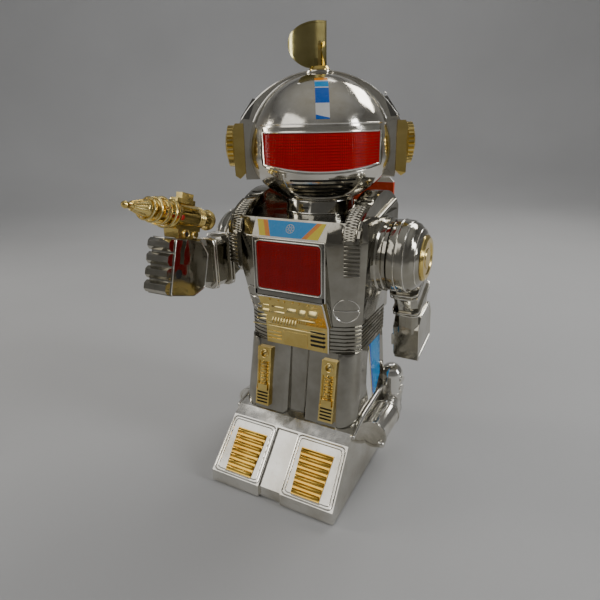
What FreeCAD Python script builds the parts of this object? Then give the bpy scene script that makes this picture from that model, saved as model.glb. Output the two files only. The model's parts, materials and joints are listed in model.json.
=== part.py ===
import FreeCAD, Part
import math
import os

# Clockwork toy robot with metallised plastic shells.
# Millimetres, +Z up, the face looks along -Y, the robot's left side is +X.
# The origin is the middle of the flat underside of the base.

V = FreeCAD.Vector
os.makedirs("parts", exist_ok=True)

# ---- driving dimensions -------------------------------------------------
WALL = 2.0                # shell thickness
GAP = 0.3                 # air between neighbouring bodies
FIT = 0.05                # radial running fit on shafts

BASE_FRONT = -53.0        # toe of the base
BASE_BACK = 53.0
BASE_HALF = 43.1          # half width on the ground
BASE_TOP_HALF = 40.6      # half width at the top edge
BASE_TOP = 43.0
LIP = 8.1                 # upright front lip
PANEL_BACK = -26.2        # rear edge of the sloped foot panels
PANEL_TOP = 35.3
FOOT_IN = 7.7             # inner and outer edges of a foot panel
CHANNEL_DEEP = 1.8        # depth of the channel between the feet

LEG_TOP = 87.0
WAIST_TOP = 105.0
SEAM = 157.0              # seam between chest and shoulder deck
DECK = 167.5
BODY_BACK = 50.0
SPLIT = 17.0              # front and back shells meet here

SHOULDER_Y = 17.0
SHOULDER_Z = 144.4
SHOULDER_R = 21.2
FLANGE_R = 22.4
FLANGE_X = 51.0           # outer face of the shoulder flange
RIGHT_ARM = 90.0          # forward swing of the right arm at rest
LEFT_ARM = -27.0          # the left arm hangs a little behind
FIST_TILT = 17.0          # the fist leans forward of the arm's line
FIST_X = 56.0             # mid plane of the arms, where their halves meet
FIST_CENTRE = (1.9, -66.5)   # from the shoulder axis, arm hanging: back, up
FIST_W = 16.4

NECK_Y = 22.5
NECK_R = 21.0
POST_R = 8.0              # hollow post the head turns on
NECK_TOP = 175.6
HEAD_R = 42.0
HEAD_Z = 202.5
JAW_SIDE_R = 26.0         # rounding of the head's sides below its middle
JAW_LOW_R = 52.0          # flatter rounding of the jaw
HEAD_TURN = 28.0          # the head looks over the left foot at rest
EAR_Z = 206.8
EAR_OUT = 55.3
DISH_LONG = 15.5          # half axes of the radar dish before its flat side
DISH_TALL = 12.0
DISH_X = -2.1
DISH_Z = 258.8
DISH_EDGE = 3.9           # where the dish is cut straight

NOZZLE_R = 8.8            # heel thruster and the tank behind it
TANK_R = 8.1

WHEEL_R = 9.0
WHEEL_DROP = 0.8          # wheels stand this far below the base
AXLE_R = 1.5
AXLE_Y = 16.8
AXLE_Z = WHEEL_R - WHEEL_DROP
MODULE = 1.0
AXLE_TEETH = 10
WHEEL_TEETH = 48
PINION_TEETH = 8
CROWN_TEETH = 32
LAY_Z = AXLE_Z + MODULE * (AXLE_TEETH + WHEEL_TEETH) / 2.0
FRONT_AXLE_Y = -34.0
FRONT_WHEEL_R = 5.5
FRONT_AXLE_Z = FRONT_WHEEL_R - WHEEL_DROP

X = V(1, 0, 0)
Y = V(0, 1, 0)
Z = V(0, 0, 1)


# ---- helpers ------------------------------------------------------------
def box(x0, x1, y0, y1, z0, z1):
    return Part.makeBox(x1 - x0, y1 - y0, z1 - z0, V(x0, y0, z0))


def rod(radius, start, axis, length):
    return Part.makeCylinder(radius, length, start, axis)


def ring(outer, inner, start, axis, length):
    return rod(outer, start, axis, length).cut(rod(inner, start, axis, length))


def face(points):
    return Part.Face(Part.makePolygon([V(*p) for p in points + points[:1]]))


def prism_yz(points, x0, x1):
    return face([(x0, y, z) for y, z in points]).extrude(V(x1 - x0, 0, 0))


def prism_xz(points, y0, y1):
    return face([(x, y0, z) for x, z in points]).extrude(V(0, y1 - y0, 0))


def prism_xy(points, z0, z1):
    return face([(x, y, z0) for x, y in points]).extrude(V(0, 0, z1 - z0))


def fuse(shapes):
    whole = shapes[0]
    for shape in shapes[1:]:
        whole = whole.fuse(shape)
    return whole.removeSplitter()


def cut_all(shape, tools):
    for tool in tools:
        shape = shape.cut(tool)
    return shape


def mirrored(shape):
    return shape.mirror(V(0, 0, 0), X)


def turned(shape, centre, axis, angle):
    copy = shape.copy()
    copy.rotate(centre, axis, angle)
    return copy


def moved(shape, x, y, z):
    copy = shape.copy()
    copy.translate(V(x, y, z))
    return copy


def revolve_z(points, y0=0.0):
    """Solid of revolution about the vertical line x = 0, y = y0; points are (radius, z)."""
    outline = face([(r, y0, z) for r, z in points])
    return outline.revolve(V(0, y0, 0), Z, 360)


def revolve_x(points, y0, z0):
    """Solid of revolution about the X line through y0, z0; points are (x, radius)."""
    outline = face([(x, y0, z0 + r) for x, r in points])
    return outline.revolve(V(0, y0, z0), X, 360)


def loft(wires):
    return Part.makeLoft(wires, True, True)


def ring_wire(points, z):
    corners = [V(x, y, z) for x, y in points]
    return Part.makePolygon(corners + corners[:1])


def both_sides(half):
    """Close a half outline, listed from front to back with x > 0, across x = 0."""
    return half + [(-x, y) for x, y in reversed(half)]


def save(name, shape):
    solids = shape.Solids
    if len(solids) == 1:
        shape = solids[0]
    shape.exportStep("parts/" + name + ".step")
    print(name, "solids", len(solids), "valid", shape.isValid(), "volume", round(shape.Volume, 1))


def gear_outline(teeth, module, share):
    """Trapezoid teeth; share is the tooth's part of the pitch at the pitch circle."""
    pitch_r = teeth * module / 2.0
    root = pitch_r - 1.15 * module
    tip = pitch_r + 0.9 * module
    step = 2 * math.pi / teeth
    points = []
    for i in range(teeth):
        for radius, offset in ((root, -0.36), (tip, -0.14), (tip, 0.14), (root, 0.36)):
            angle = i * step + offset * share * step
            points.append((radius * math.sin(angle), radius * math.cos(angle)))
    return points


def spur_x(teeth, x0, x1, y, z, phase):
    """Spur gear about X; phase is the angle of one tooth from +Z toward +Y, in degrees."""
    outline = gear_outline(teeth, MODULE, 0.84)
    gear = prism_yz(outline, x0, x1)
    return moved(turned(gear, V(0, 0, 0), X, -phase), 0, y, z)


# ---- base ---------------------------------------------------------------
def base_profile(inset):
    """Side outline of the base, offset inwards by inset, open to the floor."""
    slope = math.atan2(PANEL_TOP - LIP, PANEL_BACK - BASE_FRONT)
    shift = inset / math.cos(slope) if inset else 0.0
    toe = BASE_FRONT + inset
    lip = LIP - shift + inset * math.tan(slope)
    return [
        (toe, 0.0 if not inset else -1.0),
        (toe, lip),
        (PANEL_BACK + inset * 0.4, PANEL_TOP - inset),
        (-20.0 + inset * 0.4, 40.0 - inset),
        (-4.0, BASE_TOP - inset),
        (BASE_BACK - 8.0 - inset * 0.4, BASE_TOP - inset),
        (BASE_BACK - inset, BASE_TOP - 8.0 - inset * 0.4),
        (BASE_BACK - inset, 0.0 if not inset else -1.0),
    ]


def base_solid(inset):
    block = prism_yz(base_profile(inset), -60, 60)
    low = BASE_HALF - inset
    high = BASE_TOP_HALF - inset
    trim = prism_xz([(-low, 0), (low, 0), (high, BASE_TOP), (-high, BASE_TOP)], -60, 60)
    if inset:
        trim = trim.fuse(box(-low, low, -60, 60, -1, 0))
    return block.common(trim)


def make_base():
    shell = base_solid(0).cut(base_solid(WALL))
    # channel between the two feet, set back at the toe
    slope = math.atan2(PANEL_TOP - LIP, PANEL_BACK - BASE_FRONT)
    down = CHANNEL_DEEP / math.cos(slope)
    groove = prism_yz([(BASE_FRONT - 1, -1), (BASE_FRONT + 1.6, -1), (BASE_FRONT + 1.6, LIP - down + 1.7),
                       (PANEL_BACK, PANEL_TOP - down), (PANEL_BACK - 4, PANEL_TOP + 9),
                       (BASE_FRONT - 1, PANEL_TOP)], -FOOT_IN, FOOT_IN)
    floor = prism_yz([(BASE_FRONT + 1.6, 0.0), (BASE_FRONT + 3.6, 0.0), (BASE_FRONT + 3.6, LIP - down + 1.7),
                      (PANEL_BACK, PANEL_TOP - down - 2.4), (PANEL_BACK, PANEL_TOP - down),
                      (BASE_FRONT + 1.6, LIP - down + 1.7)], -FOOT_IN - WALL, FOOT_IN + WALL)
    shell = shell.cut(groove).fuse(floor.common(base_solid(0)))
    # open top under the legs and a slot for the key arbor
    well = box(-34, 34, -8.6, 47, BASE_TOP - WALL - 4, BASE_TOP + 1)
    slot = rod(2.0 + GAP, V(0, BASE_BACK - 9, LAY_Z), Y, 12)
    seats = fuse([rod(2.6, V(x, y, 1.6), Z, 12.0) for x in (-39.0, 39.0) for y in (-8.0, 44.0)])
    seats = seats.common(base_solid(WALL))
    pilots = fuse([rod(1.1, V(x, y, 1.6), Z, 9.0) for x in (-37.6, 37.6) for y in (-8.0, 44.0)])
    return shell.cut(well).cut(slot).fuse(seats).cut(pilots).removeSplitter()


def wheel_slots(z0, z1):
    cuts = []
    for side in (-1, 1):
        cuts.append(box(side * 31 - 4, side * 31 + 4, AXLE_Y - 10.5, AXLE_Y + 10.5, z0, z1))
        cuts.append(box(side * 31 - 3.2, side * 31 + 3.2, FRONT_AXLE_Y - 6.6, FRONT_AXLE_Y + 6.6, z0, z1))
    return cuts


def make_base_plate():
    half = BASE_HALF - WALL - 0.25
    plate = box(-half, half, BASE_FRONT + 5.9, BASE_BACK - WALL - 0.2, 0, 1.6)
    plate = cut_all(plate, wheel_slots(-1, 3))
    for x in (-37.6, 37.6):
        for y in (-8.0, 44.0):
            plate = plate.cut(rod(1.3, V(x, y, -1), Z, 4)).cut(rod(2.5, V(x, y, -1), Z, 1.8))
    bearings = []
    for side in (-1, 1):
        bearings.append(box(side * 37.4 - 1.0, side * 37.4 + 1.0, AXLE_Y - 3.5, AXLE_Y + 3.5, 1.6, 12.0))
        bearings.append(box(side * 24.5 - 1.0, side * 24.5 + 1.0, FRONT_AXLE_Y - 3.0, FRONT_AXLE_Y + 3.0,
                            1.6, 7.6))
    plate = fuse([plate] + bearings)
    plate = plate.cut(rod(AXLE_R + FIT, V(-50, AXLE_Y, AXLE_Z), X, 100))
    plate = plate.cut(rod(1.0 + FIT, V(-50, FRONT_AXLE_Y, FRONT_AXLE_Z), X, 100))
    return plate


def make_base_screws():
    screws = []
    for x in (-37.6, 37.6):
        for y in (-8.0, 44.0):
            head = rod(2.2, V(x, y, 0.15), Z, 0.6)
            shank = rod(1.1, V(x, y, 0.7), Z, 7.5)
            slot = box(x - 2.4, x + 2.4, y - 0.25, y + 0.25, 0.0, 0.4)
            screws.append(head.fuse(shank).cut(slot))
    return Part.makeCompound(screws)


def make_foot_grille():
    """Left foot grille: seven ribs on a trapezoid plate lying on the sloped panel."""
    slope = math.degrees(math.atan2(PANEL_TOP - LIP, PANEL_BACK - BASE_FRONT))
    run = 27.4
    plate = prism_xy([(14.4, 0), (33.0, 0), (34.4, run), (12.6, run)], 0, 0.5)
    pieces = [plate]
    pitch = run / 7.0
    for i in range(7):
        middle = (i + 0.5) * pitch
        spread = middle / run
        left = 14.4 - 1.8 * spread + 0.5
        right = 33.0 + 1.4 * spread - 0.5
        rib = rod(1.35, V(left, middle, 0.35), X, right - left)
        pieces.append(rib.common(box(0, 50, -5, run + 5, 0, 3)))
    grille = fuse(pieces)
    grille = turned(grille, V(0, 0, 0), X, slope)
    start = 2.9
    along = math.radians(slope)
    return moved(grille, 0, BASE_FRONT + start * math.cos(along) - 0.05,
                 LIP + start * math.sin(along) + 0.05)


# ---- body shells --------------------------------------------------------
def waist_section(inset):
    return both_sides([(21.5 - inset * 0.3, -10.5 + inset), (30.5 - inset * 0.6, -8.0 + inset),
                       (35.8 - inset, -4.6 + inset), (38.5 - inset, -0.6 + inset * 0.6),
                       (38.5 - inset, 40.0 - inset * 0.6), (32.5 - inset, 46.0 - inset)])


def chest_section(inset):
    return both_sides([(23.6 - inset * 0.3, -20.3 + inset), (33.0 - inset * 0.6, -17.0 + inset),
                       (41.5 - inset, -14.2 + inset), (44.6 - inset, -11.4 + inset * 0.6),
                       (44.6 - inset, BODY_BACK - 8.0 - inset * 0.6), (36.6 - inset, BODY_BACK - inset)])


def leg_wire(inset, front, outer, back, z):
    """Section of the left leg column: flat front, round outer corner."""
    x_in = 6.0 + inset
    corner = 11.0 - inset
    half = corner * math.sqrt(0.5)
    cx = outer - inset - corner
    cy = front + inset + corner
    points = [V(outer - inset, cy, z), V(outer - inset, back - inset - 6.0, z),
              V(outer - inset - 6.0, back - inset, z), V(x_in, back - inset, z),
              V(x_in, front + inset + 2.0, z),
              V(x_in + 2.0, front + inset, z), V(cx, front + inset, z)]
    edges = [Part.Arc(points[-1], V(cx + half, cy - half, z), points[0]).toShape()]
    edges += [Part.makeLine(a, b) for a, b in zip(points, points[1:])]
    return Part.Wire(edges)


def body_solid(inset):
    low = 39.5 if not inset else 38.0
    chest = loft([ring_wire(waist_section(inset), WAIST_TOP), ring_wire(chest_section(inset), SEAM)])
    waist = loft([ring_wire(waist_section(inset), LEG_TOP - (WALL if inset else 0.0)),
                  ring_wire(waist_section(inset), WAIST_TOP)])
    leg = loft([leg_wire(inset, -19.0, 40.0, 49.0, low), leg_wire(inset, -10.4, 38.2, 45.0, LEG_TOP)])
    middle = loft([ring_wire([(-7 - inset, -14.5 + inset), (7 + inset, -14.5 + inset),
                              (7 + inset, 49 - inset), (-7 - inset, 49 - inset)], low),
                   ring_wire([(-7 - inset, -7.5 + inset), (7 + inset, -7.5 + inset),
                              (7 + inset, 45 - inset), (-7 - inset, 45 - inset)], LEG_TOP)])
    return fuse([chest, waist, leg, mirrored(leg), middle])


PLATE_HALF = 23.4         # proud chest plate around the lens
PLATE_LOW = 122.0
LENS_HALF = 20.3
LENS_LOW = 126.6
LENS_TOP = 154.4


def lens_opening(extra, y0, y1):
    hole = box(-LENS_HALF - extra, LENS_HALF + extra, y0, y1, LENS_LOW - extra, LENS_TOP + extra)
    edges = [e for e in hole.Edges if abs(e.Vertexes[0].Y - e.Vertexes[1].Y) > 0.5]
    return hole.makeFillet(2.2, edges)


def make_body():
    outer = body_solid(0)
    plate = prism_yz([(-20.6, PLATE_LOW), (-20.6, SEAM), (-10.0, SEAM), (-5.0, PLATE_LOW)],
                     -PLATE_HALF, PLATE_HALF)
    wedge = prism_yz([(-18.5, PLATE_LOW), (-10.82, 103.3), (-5, 103.3), (-5, PLATE_LOW)],
                     -PLATE_HALF, PLATE_HALF)
    shell = outer.fuse(plate).fuse(wedge).cut(body_solid(WALL))
    rims = [box(-34, 34, -14, 46, SEAM - 1, SEAM + 1)]
    rims.append(lens_opening(0.3, -25, 0))
    rims.append(lens_opening(1.35, -18.35, 0))
    rims.append(prism_yz([(-30, 38), (-20, 38), (-20, 40.2), (-4.0, BASE_TOP + 0.05), (45.0, BASE_TOP + 0.05),
                          (60, 38), (60, 30), (-30, 30)], -60, 60))
    for side in (-1, 1):
        rims.append(rod(4.0 + FIT, V(side * 30, SHOULDER_Y, SHOULDER_Z), V(side, 0, 0), 30))
        rims.append(rod(1.2, V(side * 22.9, -20, 79.0), Y, 12))
    shell = cut_all(shell, rims)
    # fine grooves round the waist
    for k in range(7):
        z = 88.6 + 2.5 * k
        band = loft([ring_wire(waist_section(0), z), ring_wire(waist_section(0), z + 0.8)])
        core = loft([ring_wire(waist_section(0.7), z), ring_wire(waist_section(0.7), z + 0.8)])
        keep = box(-60, 60, -60, 42, z - 1, z + 2)
        shell = shell.cut(band.cut(core).common(keep).cut(box(-21.2, 21.2, -60, 10, z - 1, z + 2)))
    front = shell.common(box(-80, 80, -80, SPLIT - 0.05, 0, 300))
    back = shell.common(box(-80, 80, SPLIT + 0.05, 120, 0, 300))
    return front, back


def deck_block():
    """Everything inside the outer faces of the shoulder deck."""
    top = [(x * 0.985, max(y, -15.2) if y < 0 else y - 1.0) for x, y in chest_section(0)]
    return loft([ring_wire(chest_section(0), SEAM + 0.1), ring_wire(top, DECK)])


def make_deck():
    """Shoulder deck: sloped sticker face in front, flat top with the neck hole."""
    under = [(x * 0.985, max(y, -13.4) if y < 0 else y - 1.0) for x, y in chest_section(WALL)]
    outer = deck_block()
    inner = loft([ring_wire(chest_section(WALL), SEAM), ring_wire(under, DECK - WALL)])
    deck = outer.cut(inner)
    deck = deck.cut(rod(9.0, V(0, NECK_Y, DECK - 5), Z, 10))
    for side in (-1, 1):
        relief = rod(FLANGE_R + 0.1, V(side * 43.5, SHOULDER_Y, SHOULDER_Z), V(side, 0, 0), 6)
        deck = deck.cut(relief)
    return deck


def make_yoke():
    """Left yoke: a strap arched front to back beside the neck, ending in a ribbed column."""
    cy, cz, reach = 21.0, 140.5, 40.0
    strap = rod(reach, V(31.2, cy, cz), X, 10.6).cut(rod(reach - WALL, V(33.2, cy, cz), X, 6.6))
    strap = strap.common(box(20, 60, -30, BODY_BACK - 0.05, SEAM + 0.1, 200))
    slots = [turned(box(33.5, 39.8, cy - 0.7, cy + 0.7, cz + reach - 0.8, cz + reach + 3), V(0, cy, cz), X,
                    20.0 + 6.0 * k) for k in range(4)]
    front = prism_yz([(-18.0, SEAM + 0.1), (-17.6, 160.6), (-16.4, 164.2), (-12.5, 168.9), (-7.0, 172.4),
                      (-1.0, 175.2), (-1.0, 166.0), (-8.0, SEAM + 0.1)], 32.4, 41.8)
    steps = [moved(turned(box(33.6, 40.4, -0.8, 0.8, -0.7, 0.7), V(0, 0, 0), X, -lean), 0, y, z)
             for y, z, lean in ((-17.8, 159.6, 0), (-17.0, 162.6, 18), (-14.5, 166.6, 40),
                                (-10.0, 170.6, 55))]
    yoke = fuse([cut_all(strap, slots), cut_all(front, steps), make_rib_column(), make_brace()])
    yoke = yoke.cut(rod(FLANGE_R + 0.05, V(40, SHOULDER_Y, SHOULDER_Z), X, 10))
    return yoke.cut(deck_block()).cut(body_block())


def make_brace():
    """Left slanting strap along the outside of the yoke, over the shoulder."""
    start = V(42.6, 2.0, 165.0)
    end = V(42.6, 39.5, 172.6)
    way = end.sub(start)
    return fuse([rod(1.3, start, way, way.Length), Part.makeSphere(1.3, start), Part.makeSphere(1.3, end)])


def body_block():
    """Everything inside the outer faces of the chest."""
    return loft([ring_wire(chest_section(0), SEAM - 0.05), ring_wire(chest_section(0), SEAM + 0.1)]).fuse(
        body_solid(0))


def make_rib_column():
    """Left ribbed column on the chest below the yoke."""
    tilt = math.degrees(math.atan2(3.2, 9.0))
    core = box(-3.6, 3.6, -1.0, 1.6, 138.6, 159.0)
    pieces = [core]
    for k in range(8):
        pieces.append(rod(0.9, V(-4.3, -1.0, 139.8 + 2.3 * k), X, 8.6))
    column = fuse(pieces)
    column = turned(column, V(0, 0, 0), Z, tilt)
    return moved(column, 37.6, -17.2, 0)


def make_chest_lens():
    lens = lens_opening(0.0, -20.9, -19.3)
    rim = lens_opening(1.2, -18.2, -17.2)
    return fuse([lens, lens_opening(0.0, -19.4, -17.3), rim])


def make_belly_plate():
    """Gold instrument plate: slopes back below the chest, then hangs upright over the waist."""
    outline = [(-20.7, 121.6), (-12.5, 103.0), (-12.0, 86.6), (-10.6, 86.6), (-10.9, 103.2), (-18.6, 121.6)]
    plate = prism_yz(outline, -21.6, 21.6)
    pieces = [plate]
    for k in range(11):
        pieces.append(box(-8 + 1.5 * k, -7.3 + 1.5 * k, -14.6, -11.5, 104.2, 107.0))
    for k in range(4):
        pieces.append(box(9.5, 18.5, -12.7, -11.5, 88.6 + 2.9 * k, 90.0 + 2.9 * k))
    pieces.append(box(-9.0, 7.5, -12.6, -11.5, 88.4, 96.5))
    pieces.append(box(-19.5, -11.5, -12.8, -11.5, 97.0, 99.6))
    return fuse(pieces).cut(prism_yz([(-10.9, 103.2), (-18.6, 121.6), (-5, 121.6), (-5, 86)], -19.4, 19.4))


def make_thigh_plate():
    """Left thigh trim: screw block, ribbed piston in a channel, louvred foot."""
    lean = math.degrees(math.atan2(8.6, LEG_TOP - 39.5))
    plate = box(-4.9, 4.9, -0.9, 0.0, 43.5, 83.2)
    pieces = [plate, box(-4.9, 4.9, -2.4, 0, 73.8, 83.2), box(-4.9, 4.9, -2.4, 0, 43.5, 54.0),
              box(-3.4, 3.4, -3.0, 0, 54.0, 58.0), rod(1.5, V(0, -1.1, 56), Z, 18),
              box(-4.9, -3.9, -1.9, 0, 54.0, 74.0), box(3.9, 4.9, -1.9, 0, 54.0, 74.0)]
    for k in range(6):
        pieces.append(rod(2.1, V(0, -1.1, 59.6 + 2.3 * k), Z, 1.1))
    trim = fuse(pieces).common(box(-6, 6, -4, 0, 40, 90))
    for k in range(4):
        trim = trim.cut(box(-3.9, 3.9, -3.2, -1.3, 45.0 + 2.2 * k, 46.1 + 2.2 * k))
    trim = trim.cut(rod(2.1, V(0, -4, 78.6), Y, 2.6))
    pivot = V(0, 0, 39.5)
    trim = turned(trim, pivot, X, -lean)
    return moved(trim, 22.9, -19.05, 0)


def make_shoulder_bearing():
    """Left shoulder bearing: a stepped flange outside the body and the headed pin of the arm."""
    return make_flange().fuse(make_spindle()).removeSplitter()


def make_flange():
    """Left shoulder flange with a stepped rim."""
    y, z = SHOULDER_Y, SHOULDER_Z
    disc = revolve_x([(43.6, 0), (43.6, FLANGE_R), (45.4, FLANGE_R), (46.3, FLANGE_R - 0.9),
                      (48.6, FLANGE_R - 0.9), (49.2, FLANGE_R - 1.8), (FLANGE_X, FLANGE_R - 1.8),
                      (FLANGE_X, 0)], y, z)
    return disc.cut(body_solid(0))


def make_spindle():
    """Left shoulder spindle: a headed pin fixed in the body wall."""
    y, z = SHOULDER_Y, SHOULDER_Z
    return revolve_x([(36.5, 0), (36.5, 7.0), (40.2, 7.0), (40.2, 4.0), (58.0, 4.0), (58.0, 6.0),
                      (59.6, 6.0), (59.6, 0)], y, z)


def make_nozzle():
    """Left heel thruster, lying along Y against the side of the base."""
    x, z = 47.0, 28.6
    parts = [rod(NOZZLE_R, V(x, 1.6, z), Y, 31.0), rod(NOZZLE_R + 0.5, V(x, 0.2, z), Y, 1.6),
             rod(NOZZLE_R + 0.6, V(x, 27.4, z), Y, 2.2), rod(NOZZLE_R - 1.0, V(x, 30.0, z), Y, 9.0),
             Part.makeCone(NOZZLE_R - 1.0, NOZZLE_R - 3.0, 3.4, V(x, 39.0, z), Y)]
    body = fuse(parts).cut(rod(NOZZLE_R - 1.0, V(x, -0.5, z), Y, 1.3))
    body = body.fuse(Part.makeSphere(2.6, V(x + 5.8, 0.6, z - 5.4)))
    return body.cut(base_solid(0))


def make_tank():
    """Left heel tank standing behind and above the thruster."""
    x, y = 44.4, 45.2
    parts = [rod(TANK_R, V(x, y, 29.0), Z, 21.2), Part.makeSphere(TANK_R, V(x, y, 50.2)),
             rod(TANK_R + 0.4, V(x, y, 36.4), Z, 1.6), rod(2.6, V(48.0, 37.0, 24.0), Z, 12.0)]
    for height in (41.6, 48.6):
        parts.append(turned(rod(2.5, V(x, y, height), X, TANK_R + 0.8), V(x, y, 0), Z, -12))
    tank = fuse(parts)
    return tank.cut(base_solid(0)).cut(body_solid(0)).cut(make_nozzle())


def make_thruster():
    return fuse([make_nozzle(), make_tank()])


def make_side_rail():
    """Left rounded rail along the top side edge of the base."""
    start = V(41.3, -20.0, 38.4)
    middle = V(41.0, -4.0, 42.6)
    end = V(40.9, 34.0, 44.4)
    pieces = []
    for a, b in ((start, middle), (middle, end)):
        way = b.sub(a)
        pieces.append(rod(1.6, a, way, way.Length))
    pieces += [Part.makeSphere(1.6, p) for p in (start, middle, end)]
    return fuse(pieces).cut(base_solid(0)).cut(body_solid(0))


def make_backpack():
    pack = box(-34, 34, BODY_BACK + 0.05, 63, 96, 170)
    edges = [e for e in pack.Edges if e.CenterOfMass.y > 62]
    pack = pack.makeChamfer(3.0, edges)
    return pack.cut(box(-31, 31, BODY_BACK, 60.5, 99, 167))


def make_fin():
    """Upright panel on top of the backpack, behind the head."""
    outline = [(-34, 165.0), (34, 165.0), (34, 180.5), (31, 183.5), (-31, 183.5), (-34, 180.5)]
    return prism_xz(outline, 63.1, 65.4)


# ---- neck and head ------------------------------------------------------
def make_neck_ring():
    return ring(NECK_R, NECK_R - 2.5, V(0, NECK_Y, DECK - 0.5), Z, NECK_TOP - DECK + 0.2)


def make_neck_post():
    """Hollow pivot post with a foot below the deck and a retaining washer on top."""
    post = revolve_z([(5.0, 160.5), (13.0, 160.5), (13.0, 163.0), (13.0, DECK - WALL - 0.1),
                      (POST_R, DECK - WALL - 0.1), (POST_R, 177.8), (11.0, 177.8), (11.0, 179.2),
                      (5.0, 179.2)], NECK_Y)
    return post


def head_solid(inset):
    """The head about the neck axis: a round dome, rounded sides and a flatter jaw below."""
    dome_r = HEAD_R - inset
    side_r = JAW_SIDE_R - inset
    jaw_r = JAW_LOW_R - inset
    low_z = NECK_TOP + inset * 0.9
    side_x = HEAD_R - JAW_SIDE_R
    lift = math.sqrt((JAW_LOW_R - JAW_SIDE_R) ** 2 - side_x ** 2)
    meet = math.atan2(lift, side_x)

    def at(cx, cz, radius, angle):
        return V(cx + radius * math.cos(angle), NECK_Y, cz - radius * math.sin(angle))

    crown = V(0, NECK_Y, HEAD_Z + dome_r)
    equator = at(side_x, HEAD_Z, side_r, 0)
    turn = at(side_x, HEAD_Z, side_r, meet)
    end = math.asin((HEAD_Z + lift - low_z - 1.4) / jaw_r)
    chin = at(0, HEAD_Z + lift, jaw_r, end)
    neck = V(NECK_R + 0.6 - inset, NECK_Y, low_z)
    foot = V(0, NECK_Y, low_z)
    edges = [Part.Arc(crown, at(0, HEAD_Z, dome_r, -math.pi / 4), equator).toShape(),
             Part.Arc(equator, at(side_x, HEAD_Z, side_r, meet / 2), turn).toShape(),
             Part.Arc(turn, at(0, HEAD_Z + lift, jaw_r, (meet + end) / 2), chin).toShape(),
             Part.makeLine(chin, neck), Part.makeLine(neck, foot), Part.makeLine(foot, crown)]
    return Part.Face(Part.Wire(edges)).revolve(V(0, NECK_Y, 0), Z, 360)


VISOR_HALF = 51.5         # half the visor's sweep, in degrees
VISOR_TOP = 213.2
VISOR_CORNER = 197.4
VISOR_LOW = 193.3


def visor_cutter(grow):
    """Wedge that bounds the visor seen from the front: level top, sagging bottom edge."""
    reach = 60.0
    half = VISOR_HALF + grow * 1.3
    wedge_points = [(0.0, NECK_Y - 1.0)]
    for k in range(13):
        angle = math.radians(-half + 2 * half * k / 12)
        wedge_points.append((reach * math.sin(angle), NECK_Y - reach * math.cos(angle)))
    wedge = prism_xy(wedge_points, 150, 250)
    span = HEAD_R * math.sin(math.radians(VISOR_HALF)) + 2.0
    outline = [(-60, VISOR_TOP + grow), (60, VISOR_TOP + grow), (60, VISOR_CORNER - grow)]
    for k in range(11):
        u = 1.0 - 0.2 * k
        outline.append((span * u, VISOR_LOW - grow + (VISOR_CORNER - VISOR_LOW) * u * u))
    outline.append((-60, VISOR_CORNER - grow))
    band = prism_xz(outline, NECK_Y - 60, NECK_Y)
    return wedge.common(band)


def make_head():
    shell = head_solid(0).cut(head_solid(WALL))
    # recessed visor band below the brow
    brow = ring(60, HEAD_R - 2.2, V(0, NECK_Y, VISOR_LOW - 3), Z, 216.6 - VISOR_LOW + 3)
    front_half = box(-60, 60, -60, NECK_Y - 6, 150, 250)
    wedge = visor_cutter(1.6).fuse(visor_cutter(1.6).common(front_half).translate(V(0, 0, 1.8)))
    shell = shell.fuse(ring(HEAD_R - 1.4, HEAD_R - 4.0, V(0, NECK_Y, 190.0), Z, 27.0).common(
        wedge_front(62)).common(head_solid(0)))
    shell = shell.cut(brow.common(wedge))
    shell = shell.cut(visor_cutter(0.25))
    # mouth louvres
    for k in range(5):
        z = 178.6 + 2.35 * k
        half = 13.5 + 1.1 * k
        slot = box(-half, half, NECK_Y - 60, NECK_Y - 20, z, z + 1.1)
        core = head_solid(1.3)
        shell = shell.cut(slot.cut(core))
    shell = shell.cut(rod(1.6 + FIT, V(0, NECK_Y, 235), Z, 15))
    shell = shell.cut(rod(POST_R + FIT, V(0, NECK_Y, NECK_TOP - 2), Z, 6))
    front = shell.common(box(-80, 80, -80, NECK_Y - 0.05, 0, 300))
    back = shell.common(box(-80, 80, NECK_Y + 0.05, 120, 0, 300))
    front = Part.makeCompound(sorted(front.Solids, key=lambda s: -s.Volume)[:1]).Solids[0]
    back = Part.makeCompound(sorted(back.Solids, key=lambda s: -s.Volume)[:1]).Solids[0]
    return front, back


def wedge_front(half):
    points = [(0.0, NECK_Y - 1.0)]
    for k in range(9):
        angle = math.radians(-half + 2 * half * k / 8)
        points.append((80 * math.sin(angle), NECK_Y - 80 * math.cos(angle)))
    return prism_xy(points, 150, 250)


def make_visor_lens():
    skin = ring(HEAD_R - 1.6, HEAD_R - 3.2, V(0, NECK_Y, VISOR_LOW - 2), Z, VISOR_TOP - VISOR_LOW + 3)
    return skin.common(visor_cutter(0.0))


def make_head_band():
    """Raised rim over the head from ear to ear."""
    big_r = 54.5
    low_z = HEAD_Z + HEAD_R + 0.9 - big_r
    rim = rod(big_r, V(0, NECK_Y - 3.2, low_z), Y, 6.4)
    rim = rim.common(box(-80, 80, -80, 120, 217.0, 300))
    pocket = ring(big_r + 5, big_r - 1.2, V(0, NECK_Y - 1.9, low_z), Y, 3.8)
    for side in (-1, 1):
        near, far = sorted((side * 33, side * 60))
        rim = rim.cut(pocket.common(box(near, far, 0, 60, 220.0, 232.5)))
    for side in (-1, 1):
        rim = rim.cut(box(side * 52 - 7.8, side * 52 + 7.8, 0, 60, 180, 218.5))
    bracket = make_ear_bracket()
    rim = fuse([rim, bracket, mirrored(bracket)])
    boss = rod(8.4, V(0, NECK_Y, 240), Z, 5.2)
    rim = fuse([rim, boss]).cut(head_solid(-0.02))
    return rim.cut(rod(6.0 + GAP, V(0, NECK_Y, 240), Z, 20))


def make_ear_cup():
    return make_ear_block().fuse(make_ear_disc())


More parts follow.
